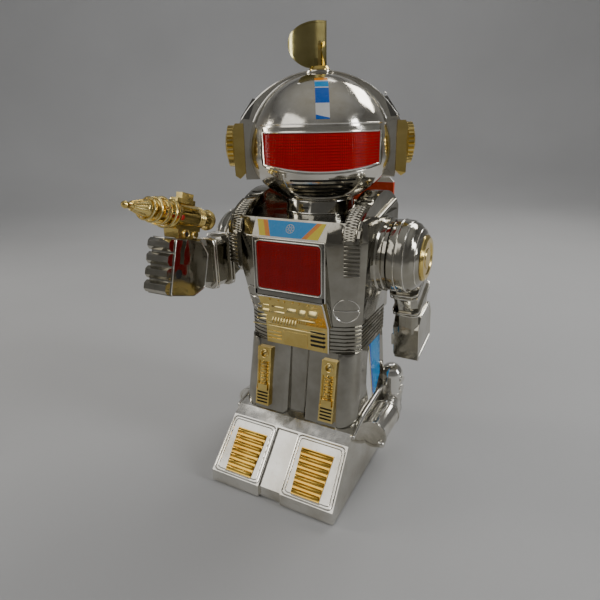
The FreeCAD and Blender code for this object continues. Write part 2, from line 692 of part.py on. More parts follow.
def make_ear_bracket():
    """Left upright silver bracket that carries the ear."""
    return box(36.5, 44.2, NECK_Y - 7.0, NECK_Y + 7.0, 186.8, 219.0)


def make_ear_block():
    """Left gold ear block, tapered below."""
    outline = [(44.3, 190.5), (47.6, 187.4), (50.4, 189.2), (51.0, 214.0), (49.0, 218.4), (44.3, 218.4)]
    return prism_xz(outline, NECK_Y - 8.2, NECK_Y + 8.2)


def make_ear_disc():
    """Left knurled ear disc."""
    teeth = 28
    step = 2 * math.pi / teeth
    outline = []
    for i in range(teeth):
        for radius, offset in ((10.7, 0.0), (11.7, 0.3), (11.7, 0.7)):
            outline.append((radius * math.cos((i + offset) * step), radius * math.sin((i + offset) * step)))
    disc = prism_yz(outline, 50.6, 54.0)
    dome = revolve_x([(53.9, 0), (53.9, 9.2), (EAR_OUT, 7.2), (EAR_OUT, 0)], 0, 0)
    return moved(disc.fuse(dome), 0, NECK_Y, EAR_Z - 1.0)


def make_radar_stem():
    """Collar, tapered fin and pivot pin of the radar."""
    y = NECK_Y
    collar = revolve_z([(0, 244.8), (6.0, 244.8), (6.0, 246.0), (5.0, 247.6), (2.4, 248.2), (0, 248.2)], y)
    pin = rod(1.6, V(0, y, 239.0), Z, 6.5)
    head = rod(2.6, V(0, y, 238.0), Z, 1.4)
    fin = prism_yz([(y - 2.6, 247.4), (y + 2.2, 247.4), (y + 1.9, 259.0), (y + 0.4, 259.0)], -0.8, 0.8)
    hook = prism_yz([(y - 0.4, 256.4), (y + 0.9, 256.4), (y + 0.9, 259.6), (y - 2.4, 260.4), (y - 2.4, 259.2)],
                    -0.7, 0.7)
    return fuse([collar, pin, head, fin, hook])


def dish_slab(inset):
    """Round slab along Y, flat on its left side, that bounds the dish."""
    edge = Part.Ellipse(V(0, 0, 0), DISH_LONG - inset, DISH_TALL - inset).toShape()
    slab = Part.Face(Part.Wire([edge])).extrude(V(0, 0, 60))
    slab = moved(turned(slab, V(0, 0, 0), X, 90), DISH_X, NECK_Y + 30, DISH_Z)
    return slab.common(box(-60, DISH_EDGE - inset, -60, 80, 200, 300))


def make_radar_dish():
    """Dish bent about an upright line, with a lip on its edge."""
    y = NECK_Y
    curve_r = 18.0
    centre = V(-7.0, y - curve_r + 3.2, 240)
    behind = box(-60, 60, centre.y, 60, 240, 280)
    dish = ring(curve_r, curve_r - 1.2, centre, Z, 40).common(dish_slab(0))
    edge = dish_slab(0).cut(dish_slab(0.9))
    lip = ring(curve_r + 0.5, curve_r - 1.7, centre, Z, 40).common(edge)
    post = box(-3.0, 0.9, y + 0.6, y + 2.4, 248.3, 252.0)
    return fuse([dish, lip]).common(behind).fuse(post).cut(make_radar_stem())


# ---- arms ---------------------------------------------------------------
def arm_local(u, v):
    """Point in the arm plane: u along the fist's finger direction, v toward the grip side."""
    tilt = math.radians(FIST_TILT)
    centre_y, centre_z = FIST_CENTRE
    y = centre_y - u * math.sin(tilt) - v * math.cos(tilt)
    z = centre_z - u * math.cos(tilt) + v * math.sin(tilt)
    return SHOULDER_Y + y, SHOULDER_Z + z


def block_loft(levels, y, z):
    """Bevelled block between two heights; each level is (height, half width, front reach, back reach)."""
    wires = []
    for level, half, front, back in levels:
        bevel = 3.4
        wires.append(ring_wire([(FIST_X - half, y - front + bevel), (FIST_X - half + bevel, y - front),
                                (FIST_X + half - bevel, y - front), (FIST_X + half, y - front + bevel),
                                (FIST_X + half, y + back - bevel), (FIST_X + half - bevel, y + back),
                                (FIST_X - half + bevel, y + back), (FIST_X - half, y + back - bevel)],
                               z + level))
    return loft(wires)


def make_arm_solid():
    """Left arm hanging straight down: barrel, ringed neck, faceted forearm and fist."""
    y, z = SHOULDER_Y, SHOULDER_Z
    barrel = revolve_x([(FLANGE_X + GAP, 0), (FLANGE_X + GAP, SHOULDER_R - 0.9), (52.2, SHOULDER_R - 0.2),
                        (FIST_X, SHOULDER_R), (60.6, SHOULDER_R - 0.3), (61.2, SHOULDER_R - 1.0),
                        (63.8, SHOULDER_R - 1.9), (66.8, SHOULDER_R - 4.9), (68.4, 13.9), (68.4, 0)], y, z)
    forearm = fuse([block_loft(levels, y, z) for levels in (
        ((-15.0, 7.6, 8.0, 19.0), (-24.0, 7.6, 8.0, 22.0)),
        ((-24.0, 8.6, 9.4, 23.6), (-27.4, 8.6, 9.4, 23.6)),
        ((-27.4, 7.4, 8.2, 22.6), (-40.0, 7.4, 8.2, 21.6)),
        ((-40.0, 8.4, 9.2, 22.4), (-42.6, 8.4, 9.2, 22.0)),
        ((-42.6, 7.4, 8.4, 20.8), (-56.0, 7.4, 12.6, 16.8)))])
    profile = [(-16.0, -11.0), (-16.0, 9.0), (-9.0, 15.8), (12.6, 15.8), (12.6, -15.8), (-7.0, -15.8)]
    palm = prism_yz([arm_local(u, v) for u, v in profile], FIST_X - FIST_W / 2, FIST_X + FIST_W / 2)
    arm = fuse([barrel, forearm, palm])
    fingers = []
    for k in range(4):
        v0 = -15.4 + 7.8 * k
        knuckle = prism_yz([arm_local(u, v) for u, v in
                            ((9.0, v0), (15.0, v0 + 0.4), (16.8, v0 + 2.2), (16.8, v0 + 5.2),
                             (15.0, v0 + 7.0), (9.0, v0 + 7.4))],
                           FIST_X - FIST_W / 2 + 0.4, FIST_X + FIST_W / 2 - 0.4)
        fingers.append(knuckle)
    thumb = prism_yz([arm_local(u, v) for u, v in ((-3.0, 15.8), (-1.5, 9.0), (1.0, 2.0), (6.0, 2.0), (6.5, 9.0),
                                                   (5.0, 15.8))], FIST_X - FIST_W / 2 - 1.4, FIST_X)
    arm = fuse([arm, thumb] + fingers)
    # clearance round the flange, then the spindle bore with a pocket for its head
    arm = arm.cut(rod(FLANGE_R + GAP, V(40, y, z), X, FLANGE_X + GAP - 40))
    arm = arm.cut(rod(4.0 + FIT, V(40, y, z), X, 18.2))
    arm = arm.cut(rod(6.4, V(57.6, y, z), X, 2.6))
    # round hole through the palm
    hole_y, hole_z = arm_local(7.5, -3.5)
    return arm.cut(rod(2.6, V(FIST_X - FIST_W, hole_y, hole_z), X, 11.5))


def drill_socket(arm):
    """Socket for the gun's plug on the grip side of the fist."""
    start = V(FIST_X, *arm_local(0.0, 16.8))
    deep = V(FIST_X, *arm_local(0.0, 4.0))
    way = deep.sub(start)
    return arm.cut(rod(3.2, start, way, way.Length))


def make_arm_halves(solid):
    inner = solid.common(box(0, FIST_X - 0.02, -100, 200, 0, 260))
    outer = solid.common(box(FIST_X + 0.02, 120, -100, 200, 0, 260))
    return inner, outer


def make_shoulder_cap():
    """Left gold cap on the end of the arm barrel."""
    y, z = SHOULDER_Y, SHOULDER_Z
    return revolve_x([(68.45, 0), (68.45, 13.2), (69.2, 13.2), (70.4, 11.6), (70.4, 9.4), (69.8, 8.8),
                      (69.8, 6.0), (70.2, 5.6), (70.2, 0)], y, z)


def make_gun():
    """Ray gun in the hanging arm's frame: revolved body along the finger direction."""
    axis_v = 29.0
    outline = [(-23.0, 0.0), (-23.0, 6.0), (-21.4, 6.3), (-20.4, 5.3), (-14.0, 5.1), (-13.0, 6.2), (-9.0, 6.4),
               (-8.0, 7.0), (8.0, 7.2), (9.0, 7.7), (10.2, 7.7), (10.8, 6.4), (15.0, 6.2), (15.4, 7.1),
               (16.6, 7.0), (17.2, 5.6), (21.0, 5.3), (21.4, 6.2), (22.6, 6.0), (23.2, 4.7), (26.6, 4.4),
               (27.0, 5.2), (28.2, 5.0), (28.8, 4.4), (34.0, 3.0), (38.6, 1.8), (40.2, 1.7), (41.6, 2.0),
               (43.0, 1.4), (44.0, 0.0)]
    body = face([(u, r, 0) for u, r in outline]).revolve(V(0, 0, 0), X, 360)
    rear = rod(4.2, V(-24, 0, 0), X, 4.0)
    body = body.cut(rear)
    sight = fuse([box(-7.0, 8.0, 4.0, 9.2, -2.6, 2.6), box(-5.5, 4.0, 8.0, 12.6, -2.2, 2.2)])
    keel = box(-11.0, 9.0, -7.98, -5.0, -4.6, 4.6)
    gun = fuse([body, sight, keel])
    return place_on_fist(gun, axis_v)


def place_on_fist(shape, axis_v):
    """Lay a shape drawn with X along the fingers and Y away from the fist into the arm frame."""
    out_y, out_z = arm_local(0.0, axis_v)
    copy = shape.copy()
    # drawn X -> finger direction, drawn Y -> grip direction, drawn Z -> across the fist
    tilt = math.radians(FIST_TILT)
    finger = V(0, -math.sin(tilt), -math.cos(tilt))
    grip = V(0, -math.cos(tilt), math.sin(tilt))
    across = finger.cross(grip)
    matrix = FreeCAD.Matrix(finger.x, grip.x, across.x, FIST_X,
                            finger.y, grip.y, across.y, out_y,
                            finger.z, grip.z, across.z, out_z,
                            0, 0, 0, 1)
    copy.Placement = FreeCAD.Placement(matrix).multiply(copy.Placement)
    return copy


def make_gun_grip():
    """Grip block with two round studs and the plug that enters the fist."""
    block = prism_xy([(-9.0, -8.0), (8.5, -8.0), (7.0, -12.9), (-4.6, -12.9), (-5.0, -10.6), (-9.0, -10.6)],
                     -5.2, 5.2)
    studs = [rod(1.7, V(1.6, -10.4, 5.2), Z, 0.7), rod(1.7, V(-6.8, -9.7, 5.2), Z, 0.7)]
    plug = rod(3.15, V(0, -12.4, 0), V(0, -1, 0), 11.9)
    return place_on_fist(fuse([block, plug] + studs), 29.0)


def swing(shape, angle):
    """Swing an arm-side shape forward about the shoulder axis."""
    return turned(shape, V(0, SHOULDER_Y, SHOULDER_Z), X, -angle)


# ---- clockwork ----------------------------------------------------------
def make_motor_plate(side):
    x = side * 19.6
    plate = box(x - 0.6, x + 0.6, 5.0, 44.4, 1.65, 58.0)
    plate = plate.cut(rod(AXLE_R + FIT, V(-40, AXLE_Y, AXLE_Z), X, 80))
    plate = plate.cut(rod(AXLE_R + FIT, V(-40, AXLE_Y, LAY_Z), X, 80))
    for y, z in ((9.0, 54.0), (42.0, 54.0), (42.0, 14.0)):
        plate = plate.cut(rod(1.2, V(-40, y, z), X, 80))
    return plate


def make_pillars():
    pillars = []
    for y, z in ((9.0, 54.0), (42.0, 54.0), (42.0, 14.0)):
        pillars.append(rod(2.2, V(-18.98, y, z), X, 37.96).fuse(rod(1.2, V(-20.8, y, z), X, 41.6)))
    return Part.makeCompound(pillars)


def make_bridge(y):
    bridge = box(-18.95, 18.95, y, y + 1.2, LAY_Z - 9, LAY_Z + 9)
    return bridge.cut(rod(2.0 + FIT, V(0, y - 1, LAY_Z), Y, 4))


def make_key():
    """Winding key, its arbor and the ratchet wheel, turning about Y."""
    arbor = rod(2.0, V(0, 21.0, LAY_Z), Y, 41.0)
    hub = rod(3.6, V(0, BASE_BACK + 0.4, LAY_Z), Y, 9.0)
    wings = []
    for side in (-1, 1):
        lobe = rod(8.0, V(side * 8.5, BASE_BACK + 8.0, LAY_Z), Y, 2.0)
        hole = rod(3.6, V(side * 9.0, BASE_BACK + 7.0, LAY_Z), Y, 4.0)
        wings.append(lobe.cut(hole))
    return fuse([arbor, hub] + wings)


def make_ratchet():
    points = []
    for i in range(12):
        a = math.radians(30 * i)
        b = math.radians(30 * i + 25)
        points.append((6.2 * math.cos(a), LAY_Z + 6.2 * math.sin(a)))
        points.append((5.0 * math.cos(b), LAY_Z + 5.0 * math.sin(b)))
    wheel = prism_xz(points, 24.3, 25.7)
    return wheel.cut(rod(2.0, V(0, 20, LAY_Z), Y, 10))


def make_click():
    """Pawl riveted to the great wheel."""
    arm = prism_xz([(7.0, LAY_Z + 4.4), (9.8, LAY_Z + 3.0), (10.8, LAY_Z + 6.0), (6.9, LAY_Z + 6.4)], 24.4, 25.6)
    rivet = rod(0.9, V(9.2, 23.6, LAY_Z + 4.6), Y, 0.9)
    return arm.fuse(rivet)


def make_great_wheel():
    """Contrate great wheel about Y, teeth facing forward."""
    disc = ring(18.0, 2.0 + FIT, V(0, 22.0, LAY_Z), Y, 1.5)
    web = [rod(3.4, V(9.6 * math.cos(a), 21, LAY_Z + 9.6 * math.sin(a)), Y, 4)
           for a in [math.radians(90 + 72 * k) for k in range(5)]]
    disc = cut_all(disc, web)
    disc = disc.fuse(ring(11.4, 2.0 + FIT, V(0, 22.6, LAY_Z), Y, 0.9))
    teeth = []
    for k in range(CROWN_TEETH):
        tooth = prism_xy([(14.6, 22.05), (17.4, 22.05), (17.4, 19.9), (14.6, 19.9)], -0.45, 0.45)
        tooth = turned(moved(tooth, 0, 0, LAY_Z), V(0, 0, LAY_Z), Y, 360.0 * (k + 0.5) / CROWN_TEETH)
        teeth.append(tooth)
    return fuse([disc] + teeth)


def make_layshaft():
    shaft = rod(AXLE_R, V(-21.0, AXLE_Y, LAY_Z), X, 48.0)
    pinion = spur_x(PINION_TEETH, 14.2, 17.8, AXLE_Y, LAY_Z, 90.0)
    return shaft.fuse(pinion)


def make_lay_wheel():
    wheel = spur_x(WHEEL_TEETH, 22.0, 24.0, AXLE_Y, LAY_Z, 0.0)
    holes = [rod(6.0, V(20, AXLE_Y + 14 * math.cos(a), LAY_Z + 14 * math.sin(a)), X, 8)
             for a in [math.radians(45 + 90 * k) for k in range(4)]]
    wheel = cut_all(wheel, holes)
    return wheel.cut(rod(AXLE_R, V(10, AXLE_Y, LAY_Z), X, 30))


def make_axle():
    return rod(AXLE_R, V(-38.2, AXLE_Y, AXLE_Z), X, 76.4)


def make_axle_gear():
    gear = spur_x(AXLE_TEETH, 21.4, 24.6, AXLE_Y, AXLE_Z, 180.0 / AXLE_TEETH)
    return gear.cut(rod(AXLE_R, V(10, AXLE_Y, AXLE_Z), X, 30))


def make_hub(side):
    x = side * 31.0
    hub = revolve_x([(x - 3, AXLE_R), (x - 3, 3.0), (x - 2, 3.0), (x - 2, 5.6), (x - 3, 5.6), (x - 3, 6.6),
                     (x + 3, 6.6), (x + 3, 5.6), (x + 2, 5.6), (x + 2, 3.0), (x + 3, 3.0), (x + 3, AXLE_R)],
                    AXLE_Y, AXLE_Z)
    return hub


def make_tyre(side):
    x = side * 31.0
    return revolve_x([(x - 2.9, 6.62), (x - 2.9, 8.3), (x - 2.0, WHEEL_R), (x + 2.0, WHEEL_R), (x + 2.9, 8.3),
                      (x + 2.9, 6.62)], AXLE_Y, AXLE_Z)


def make_front_axle():
    axle = rod(1.0, V(-34.2, FRONT_AXLE_Y, FRONT_AXLE_Z), X, 68.4)
    wheels = []
    for side in (-1, 1):
        wheels.append(ring(FRONT_WHEEL_R, 0.9, V(side * 31 - 2, FRONT_AXLE_Y, FRONT_AXLE_Z), X, 4))
    return axle, fuse_pair(wheels, 1.0)


def fuse_pair(wheels, bore):
    cutter = rod(bore, V(-50, FRONT_AXLE_Y, FRONT_AXLE_Z), X, 100)
    return Part.makeCompound([w.cut(cutter) for w in wheels])


def make_mainspring():
    """Flat spiral spring, drawn as half turns whose centres alternate."""
    band = 0.5
    pitch = 1.6
    pieces = []
    radius = 3.2
    for k in range(12):
        centre = 0.0 if k % 2 == 0 else pitch / 2
        half = ring(radius + band, radius, V(centre, 30.0, LAY_Z), Y, 11.0)
        up = k % 2 == 0
        clip = box(-30, 30, 20, 50, LAY_Z, LAY_Z + 30) if up else box(-30, 30, 20, 50, LAY_Z - 30, LAY_Z)
        pieces.append(half.common(clip))
        radius += pitch / 2
    return fuse(pieces)


# ---- stickers -----------------------------------------------------------
def make_chest_sticker():
    """Trapezoid label on the sloped front of the shoulder deck."""
    lean = math.degrees(math.atan2(5.1, DECK - SEAM))
    label = prism_xz([(-18.5, 0.6), (18.5, 0.6), (22.0, 10.4), (-22.0, 10.4)], -0.15, 0.0)
    label = turned(label, V(0, 0, 0), X, -lean)
    return moved(label, 0, -20.32, SEAM).cut(deck_block())


def make_leg_sticker():
    """Left label on the outer side of the leg, following its slight taper."""
    bottom, top = 46.2, 99.0
    outline = [(11.0, bottom), (24.0, bottom), (33.0, 56.0), (33.0, top), (20.0, top), (14.0, 88.0), (9.0, 76.0),
               (7.0, 60.0)]
    skin = prism_yz(outline, 30, 50)
    shell = body_solid(-0.18).cut(body_solid(-0.02))
    label = skin.common(shell).common(box(30, 50, -20, 60, bottom, 86.8)).cut(body_solid(0))
    return max(label.Solids, key=lambda s: s.Volume)


def make_head_sticker():
    skin = head_solid(-0.16).cut(head_solid(-0.01))
    strip = box(-3.6, 3.6, -60, NECK_Y - 18.5, 219.6, 245.0)
    pieces = skin.common(strip).Solids
    return max(pieces, key=lambda s: s.Volume)


# ---- assembly -----------------------------------------------------------
def head_pose(shape):
    return turned(shape, V(0, NECK_Y, 0), Z, HEAD_TURN)


rail = make_side_rail()
save("base_shell", fuse([make_base(), rail, mirrored(rail)]))
save("base_plate", make_base_plate())
save("base_screws", make_base_screws())
grille = make_foot_grille()
save("foot_grille_left", grille)
save("foot_grille_right", mirrored(grille))

body_front, body_back = make_body()
save("body_front", body_front)
save("body_back", body_back)
save("shoulder_deck", fuse([make_deck(), make_neck_ring()]))
save("chest_lens", make_chest_lens())
save("belly_plate", make_belly_plate())
save("backpack", make_backpack())
save("backpack_fin", make_fin())

for maker, name in ((make_yoke, "yoke"), (make_thigh_plate, "thigh_plate"),
                    (make_shoulder_bearing, "shoulder_bearing"), (make_thruster, "thruster"),
                    (make_leg_sticker, "sticker_leg")):
    left = maker()
    save(name + "_left", left)
    save(name + "_right", mirrored(left))

save("neck_post", make_neck_post())
head_front, head_back = make_head()
save("head_front", head_pose(head_front))
save("head_back", head_pose(head_back))
save("visor_lens", head_pose(make_visor_lens()))
save("head_band", head_pose(make_head_band()))
save("ear_cup_left", head_pose(make_ear_cup()))
save("ear_cup_right", head_pose(mirrored(make_ear_cup())))
save("radar_stem", head_pose(make_radar_stem()))
save("radar_dish", head_pose(make_radar_dish()))
save("sticker_chest", make_chest_sticker())
save("sticker_head", head_pose(make_head_sticker()))

arm_solid = make_arm_solid()
for suffix, angle, solid in (("_left", LEFT_ARM, arm_solid), ("_right", RIGHT_ARM, drill_socket(arm_solid))):
    arm_inner, arm_outer = make_arm_halves(solid)
    for half, name in ((arm_inner, "arm_inner"), (arm_outer, "arm_outer"), (make_shoulder_cap(), "shoulder_cap")):
        save(name + suffix, swing(half if suffix == "_left" else mirrored(half), angle))
save("gun_body", swing(mirrored(make_gun()), RIGHT_ARM))
save("gun_grip", swing(mirrored(make_gun_grip()), RIGHT_ARM))

save("motor_plate_left", make_motor_plate(1))
save("motor_plate_right", make_motor_plate(-1))
save("motor_pillars", make_pillars())
save("motor_bridges", Part.makeCompound([make_bridge(27.0), make_bridge(43.0)]))
save("mainspring", make_mainspring())
save("key", make_key())
save("ratchet_wheel", make_ratchet())
save("click", make_click())
save("great_wheel", make_great_wheel())
save("layshaft", make_layshaft())
save("lay_wheel", make_lay_wheel())
save("drive_axle", make_axle())
save("axle_gear", make_axle_gear())
for side, name in ((1, "left"), (-1, "right")):
    save("wheel_hub_" + name, make_hub(side))
    save("tyre_" + name, make_tyre(side))
front_axle, front_wheels = make_front_axle()
save("front_axle", front_axle)
save("front_wheels", front_wheels)
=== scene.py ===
import json
import math

import bmesh
import bpy
from mathutils import Matrix, Vector

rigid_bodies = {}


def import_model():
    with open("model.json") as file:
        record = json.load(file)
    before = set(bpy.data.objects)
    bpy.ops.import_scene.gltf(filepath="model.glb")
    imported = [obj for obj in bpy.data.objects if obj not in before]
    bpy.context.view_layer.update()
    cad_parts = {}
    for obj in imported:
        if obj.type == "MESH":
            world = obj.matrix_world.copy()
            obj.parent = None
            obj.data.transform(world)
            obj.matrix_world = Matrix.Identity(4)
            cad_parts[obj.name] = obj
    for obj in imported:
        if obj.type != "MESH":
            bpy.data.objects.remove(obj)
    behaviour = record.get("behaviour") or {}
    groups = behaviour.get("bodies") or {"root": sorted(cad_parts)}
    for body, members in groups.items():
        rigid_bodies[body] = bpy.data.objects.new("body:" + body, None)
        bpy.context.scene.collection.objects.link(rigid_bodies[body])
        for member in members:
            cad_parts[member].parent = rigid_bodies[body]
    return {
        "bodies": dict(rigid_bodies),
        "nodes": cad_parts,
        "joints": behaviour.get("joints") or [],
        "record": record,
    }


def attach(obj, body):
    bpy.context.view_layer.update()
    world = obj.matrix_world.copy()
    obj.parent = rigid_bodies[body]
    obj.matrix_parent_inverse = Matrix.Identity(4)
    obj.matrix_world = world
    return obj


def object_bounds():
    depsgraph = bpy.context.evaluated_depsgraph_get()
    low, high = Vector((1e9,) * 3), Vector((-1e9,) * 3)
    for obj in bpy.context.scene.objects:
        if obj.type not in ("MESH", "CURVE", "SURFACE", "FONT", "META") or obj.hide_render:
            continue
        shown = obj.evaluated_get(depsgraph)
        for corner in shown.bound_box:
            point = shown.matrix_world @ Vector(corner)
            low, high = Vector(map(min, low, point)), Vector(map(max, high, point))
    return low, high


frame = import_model()
cad_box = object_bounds()
nodes = frame["nodes"]

MM = 0.001                # details are drawn in the CAD's millimetres and end up in metres

# ---- places on the CAD model, in millimetres ------------------------------
NECK_Y = 22.5             # axis the head turns on
NECK_R = 21.0
HEAD_TURN = math.radians(28.0)
HEAD_R = 42.0
HEAD_Z = 202.5
JAW_SIDE_R = 26.0         # rounding of the head's sides below its middle
JAW_LOW_R = 52.0          # flatter rounding of the jaw
JAW_LIFT = math.sqrt((JAW_LOW_R - JAW_SIDE_R) ** 2 - (HEAD_R - JAW_SIDE_R) ** 2)
JAW_TURN = JAW_SIDE_R * JAW_LIFT / (JAW_LOW_R - JAW_SIDE_R)
BAND_R = 54.5             # arc of the head band's outer edge
BAND_Z = HEAD_Z + HEAD_R + 0.9 - BAND_R

VISOR_HALF = 51.5         # half width of the visor in degrees round the head
VISOR_TOP = 213.2
VISOR_CORNER = 197.4      # lower edge at the two ends
VISOR_LOW = 193.3         # lower edge in the middle
RIB_R = HEAD_R - 1.55     # radius that the ribs of the visor lie on

WINDOW_Y = -20.65         # front of the chest, with its window
WINDOW_HALF = 21.2
WINDOW_LOW, WINDOW_HIGH = 125.6, 155.4
PLATE_HALF = 23.1         # half width of the flat front plate
PLATE_HIGH = 156.8
GRID_Y = -20.9            # face of the chest lens
GRID_HALF = 19.3
GRID_LOW, GRID_HIGH = 127.6, 153.4

BELLY_TOP = (-20.7, 121.6)    # y and z of the belly plate's top edge
BELLY_BEND = (-12.5, 103.0)   # and of the bend where it turns upright
BELLY_SLOPE = math.atan2(BELLY_BEND[0] - BELLY_TOP[0], BELLY_TOP[1] - BELLY_BEND[1])
FOOT_LOW = (-53.0, 8.1)       # y and z of a foot panel's lower and upper edge
FOOT_HIGH = (-26.2, 35.3)
FOOT_SLOPE = math.atan2(FOOT_HIGH[1] - FOOT_LOW[1], FOOT_HIGH[0] - FOOT_LOW[0])
THIGH_X = 22.9            # middle of a thigh plate

SHOULDER_Y, SHOULDER_Z = 17.0, 144.4
RIGHT_SWING, LEFT_SWING = 90.0, -27.0   # degrees forward of hanging, at rest
FIST_X = 56.0
FIST_BACK, FIST_DOWN = 1.9, 66.5        # middle of the fist from the shoulder axis
FIST_TILT = math.radians(17.0)

SIDES = ((-1, "right"), (1, "left"))


# ---- material helpers ----------------------------------------------------
class Tree:
    """A material's node tree with short calls for the nodes used here."""

    def __init__(self, name):
        self.mat = bpy.data.materials.new(name)
        self.mat.use_nodes = True
        self.nt = self.mat.node_tree
        self.bsdf = self.nt.nodes["Principled BSDF"]
        self.place = self.add("ShaderNodeTexCoord").outputs["Object"]

    def add(self, kind, **values):
        node = self.nt.nodes.new(kind)
        for key, value in values.items():
            setattr(node, key, value)
        return node

    def link(self, a, b):
        self.nt.links.new(a, b)

    def feed(self, socket, value):
        if isinstance(value, bpy.types.NodeSocket):
            self.link(value, socket)
        else:
            socket.default_value = value

    def math(self, op, a, b=0.0, c=0.0):
        node = self.add("ShaderNodeMath", operation=op)
        for socket, value in zip(node.inputs, (a, b, c)):
            self.feed(socket, value)
        return node.outputs[0]

    def noise(self, scale, detail=3.0, rough=0.5, where=None, stretch=None):
        node = self.add("ShaderNodeTexNoise")
        node.inputs["Scale"].default_value = scale
        node.inputs["Detail"].default_value = detail
        node.inputs["Roughness"].default_value = rough
        source = where or self.place
        if stretch:
            mapping = self.add("ShaderNodeMapping")
            mapping.inputs["Scale"].default_value = stretch
            self.link(source, mapping.inputs["Vector"])
            source = mapping.outputs[0]
        self.link(source, node.inputs["Vector"])
        return node.outputs["Fac"]

    def ramp(self, fac, stops):
        node = self.add("ShaderNodeValToRGB")
        node.color_ramp.elements[0].position = stops[0][0]
        node.color_ramp.elements[0].color = stops[0][1]
        node.color_ramp.elements[1].position = stops[1][0]
        node.color_ramp.elements[1].color = stops[1][1]
        for position, colour in stops[2:]:
            node.color_ramp.elements.new(position).color = colour
        self.link(fac, node.inputs["Fac"])
        return node.outputs["Color"]

    def level(self, fac, low, high, out_low=0.0, out_high=1.0):
        node = self.add("ShaderNodeMapRange")
        node.inputs["From Min"].default_value = low
        node.inputs["From Max"].default_value = high
        node.inputs["To Min"].default_value = out_low
        node.inputs["To Max"].default_value = out_high
        self.link(fac, node.inputs["Value"])
        return node.outputs[0]

    def mix(self, fac, a, b):
        node = self.add("ShaderNodeMix", data_type="RGBA")
        self.feed(node.inputs["Factor"], fac)
        self.feed(node.inputs["A"], a)
        self.feed(node.inputs["B"], b)
        return node.outputs["Result"]

    def axis(self, name, where=None):
        node = self.add("ShaderNodeSeparateXYZ")
        self.link(where or self.place, node.inputs[0])
        return node.outputs[name]

    def bump(self, height, strength, distance):
        node = self.add("ShaderNodeBump")
        node.inputs["Strength"].default_value = strength
        node.inputs["Distance"].default_value = distance
        self.link(height, node.inputs["Height"])
        return node.outputs["Normal"]

    def base(self, value):
        self.feed(self.bsdf.inputs["Base Color"], value)

    def rough(self, value):
        self.feed(self.bsdf.inputs["Roughness"], value)

    def normal(self, value):
        self.link(value, self.bsdf.inputs["Normal"])

    def set(self, **values):
        for key, value in values.items():
            self.bsdf.inputs[key.replace("_", " ")].default_value = value


def rgb(r, g, b):
    return (r, g, b, 1.0)


def plated(name, bright, tarnish, rough_low, rough_high, wave):
    """Vacuum-plated plastic: near mirror, a little wavy, with pits, rub marks and warm tarnish."""
    t = Tree(name)
    cloud = t.noise(38.0, 4.0, 0.6)
    pits = t.noise(1500.0, 2.0, 0.6)
    pit_field = t.noise(90.0, 3.0, 0.6)
    colour = t.mix(t.level(cloud, 0.42, 0.68), bright, tarnish)
    speck = t.math("MULTIPLY", t.level(pits, 0.66, 0.72), t.level(pit_field, 0.5, 0.62))
    colour = t.mix(t.math("MULTIPLY", speck, 0.65), colour, rgb(0.22, 0.18, 0.12))
    t.base(colour)
    rub = t.noise(260.0, 4.0, 0.7, stretch=(1.0, 0.35, 1.0))
    smear = t.noise(22.0, 2.0, 0.5)
    rough = t.level(rub, 0.35, 0.75, rough_low, rough_high)
    t.rough(t.math("ADD", rough, t.level(smear, 0.5, 0.8, 0.0, 0.08)))
    swell = t.math("ADD", t.noise(55.0, 2.0, 0.4), t.math("MULTIPLY", t.noise(24.0, 1.0, 0.4), 1.6))
    height = t.math("ADD", t.math("MULTIPLY", swell, wave), t.math("MULTIPLY", speck, -0.05))
    t.normal(t.bump(height, 0.4, 0.0014))
    t.set(Metallic=1.0)
    return t.mat


def lens(name, deep, bright, pitch_x, pitch_z, curved):
    """Clear red lens with a fine moulded grid in its face, and a painted glow: it emits light in its own
    colours though no lamp is inside.
    """
    t = Tree(name)
    x, z = t.axis("X"), t.axis("Z")
    if curved:
        y = t.axis("Y")
        x = t.math("MULTIPLY", t.math("ARCTAN2", x, t.math("SUBTRACT", NECK_Y * MM, y)), HEAD_R * MM)
    lines = []
    for coordinate, pitch in ((x, pitch_x), (z, pitch_z)):
        wave = t.math("SINE", t.math("MULTIPLY", coordinate, 2 * math.pi / (pitch * MM)))
        lines.append(t.level(wave, -0.6, 0.9))
    grid = t.math("MULTIPLY", lines[0], lines[1])
    cloud = t.noise(60.0, 3.0, 0.6)
    glow = t.math("MULTIPLY", t.level(grid, 0.0, 1.0, 0.25, 1.0), t.level(cloud, 0.3, 0.75, 0.45, 1.0))
    t.base(t.mix(glow, deep, bright))
    t.rough(t.level(t.noise(400.0, 3.0, 0.6), 0.3, 0.8, 0.08, 0.26))
    t.normal(t.bump(grid, 0.25, 0.0002))
    t.set(IOR=1.49)
    t.bsdf.inputs["Specular IOR Level"].default_value = 0.3
    t.bsdf.inputs["Coat Weight"].default_value = 0.15
    t.bsdf.inputs["Coat Roughness"].default_value = 0.06
    # Emission on a lens with no lamp behind it: painted glow.
    t.bsdf.inputs["Emission Strength"].default_value = 0.22 if curved else 0.12
    t.feed(t.bsdf.inputs["Emission Color"], t.mix(glow, deep, bright))
    return t.mat


def plastic(name, colour, shade, rough_low, rough_high, grain=900.0):
    """Moulded plastic with a fine grain and a slow drift between two colours."""
    t = Tree(name)
    t.base(t.mix(t.level(t.noise(45.0, 4.0, 0.6), 0.35, 0.7), colour, shade))
    t.rough(t.level(t.noise(grain, 3.0, 0.6), 0.3, 0.75, rough_low, rough_high))
    t.normal(t.bump(t.noise(grain * 1.5, 2.0, 0.5), 0.12, 0.0003))
    return t.mat


def metal(name, colour, shade, rough_low, rough_high, stretch):
    """Pressed or turned metal; stretch sets which way its fine lines run."""
    t = Tree(name)
    lines = t.noise(700.0, 4.0, 0.6, stretch=stretch)
    t.base(t.mix(t.level(t.noise(60.0, 3.0, 0.6), 0.4, 0.7), colour, shade))
    t.rough(t.level(lines, 0.3, 0.7, rough_low, rough_high))
    t.normal(t.bump(lines, 0.2, 0.0002))
    t.set(Metallic=1.0)
    return t.mat


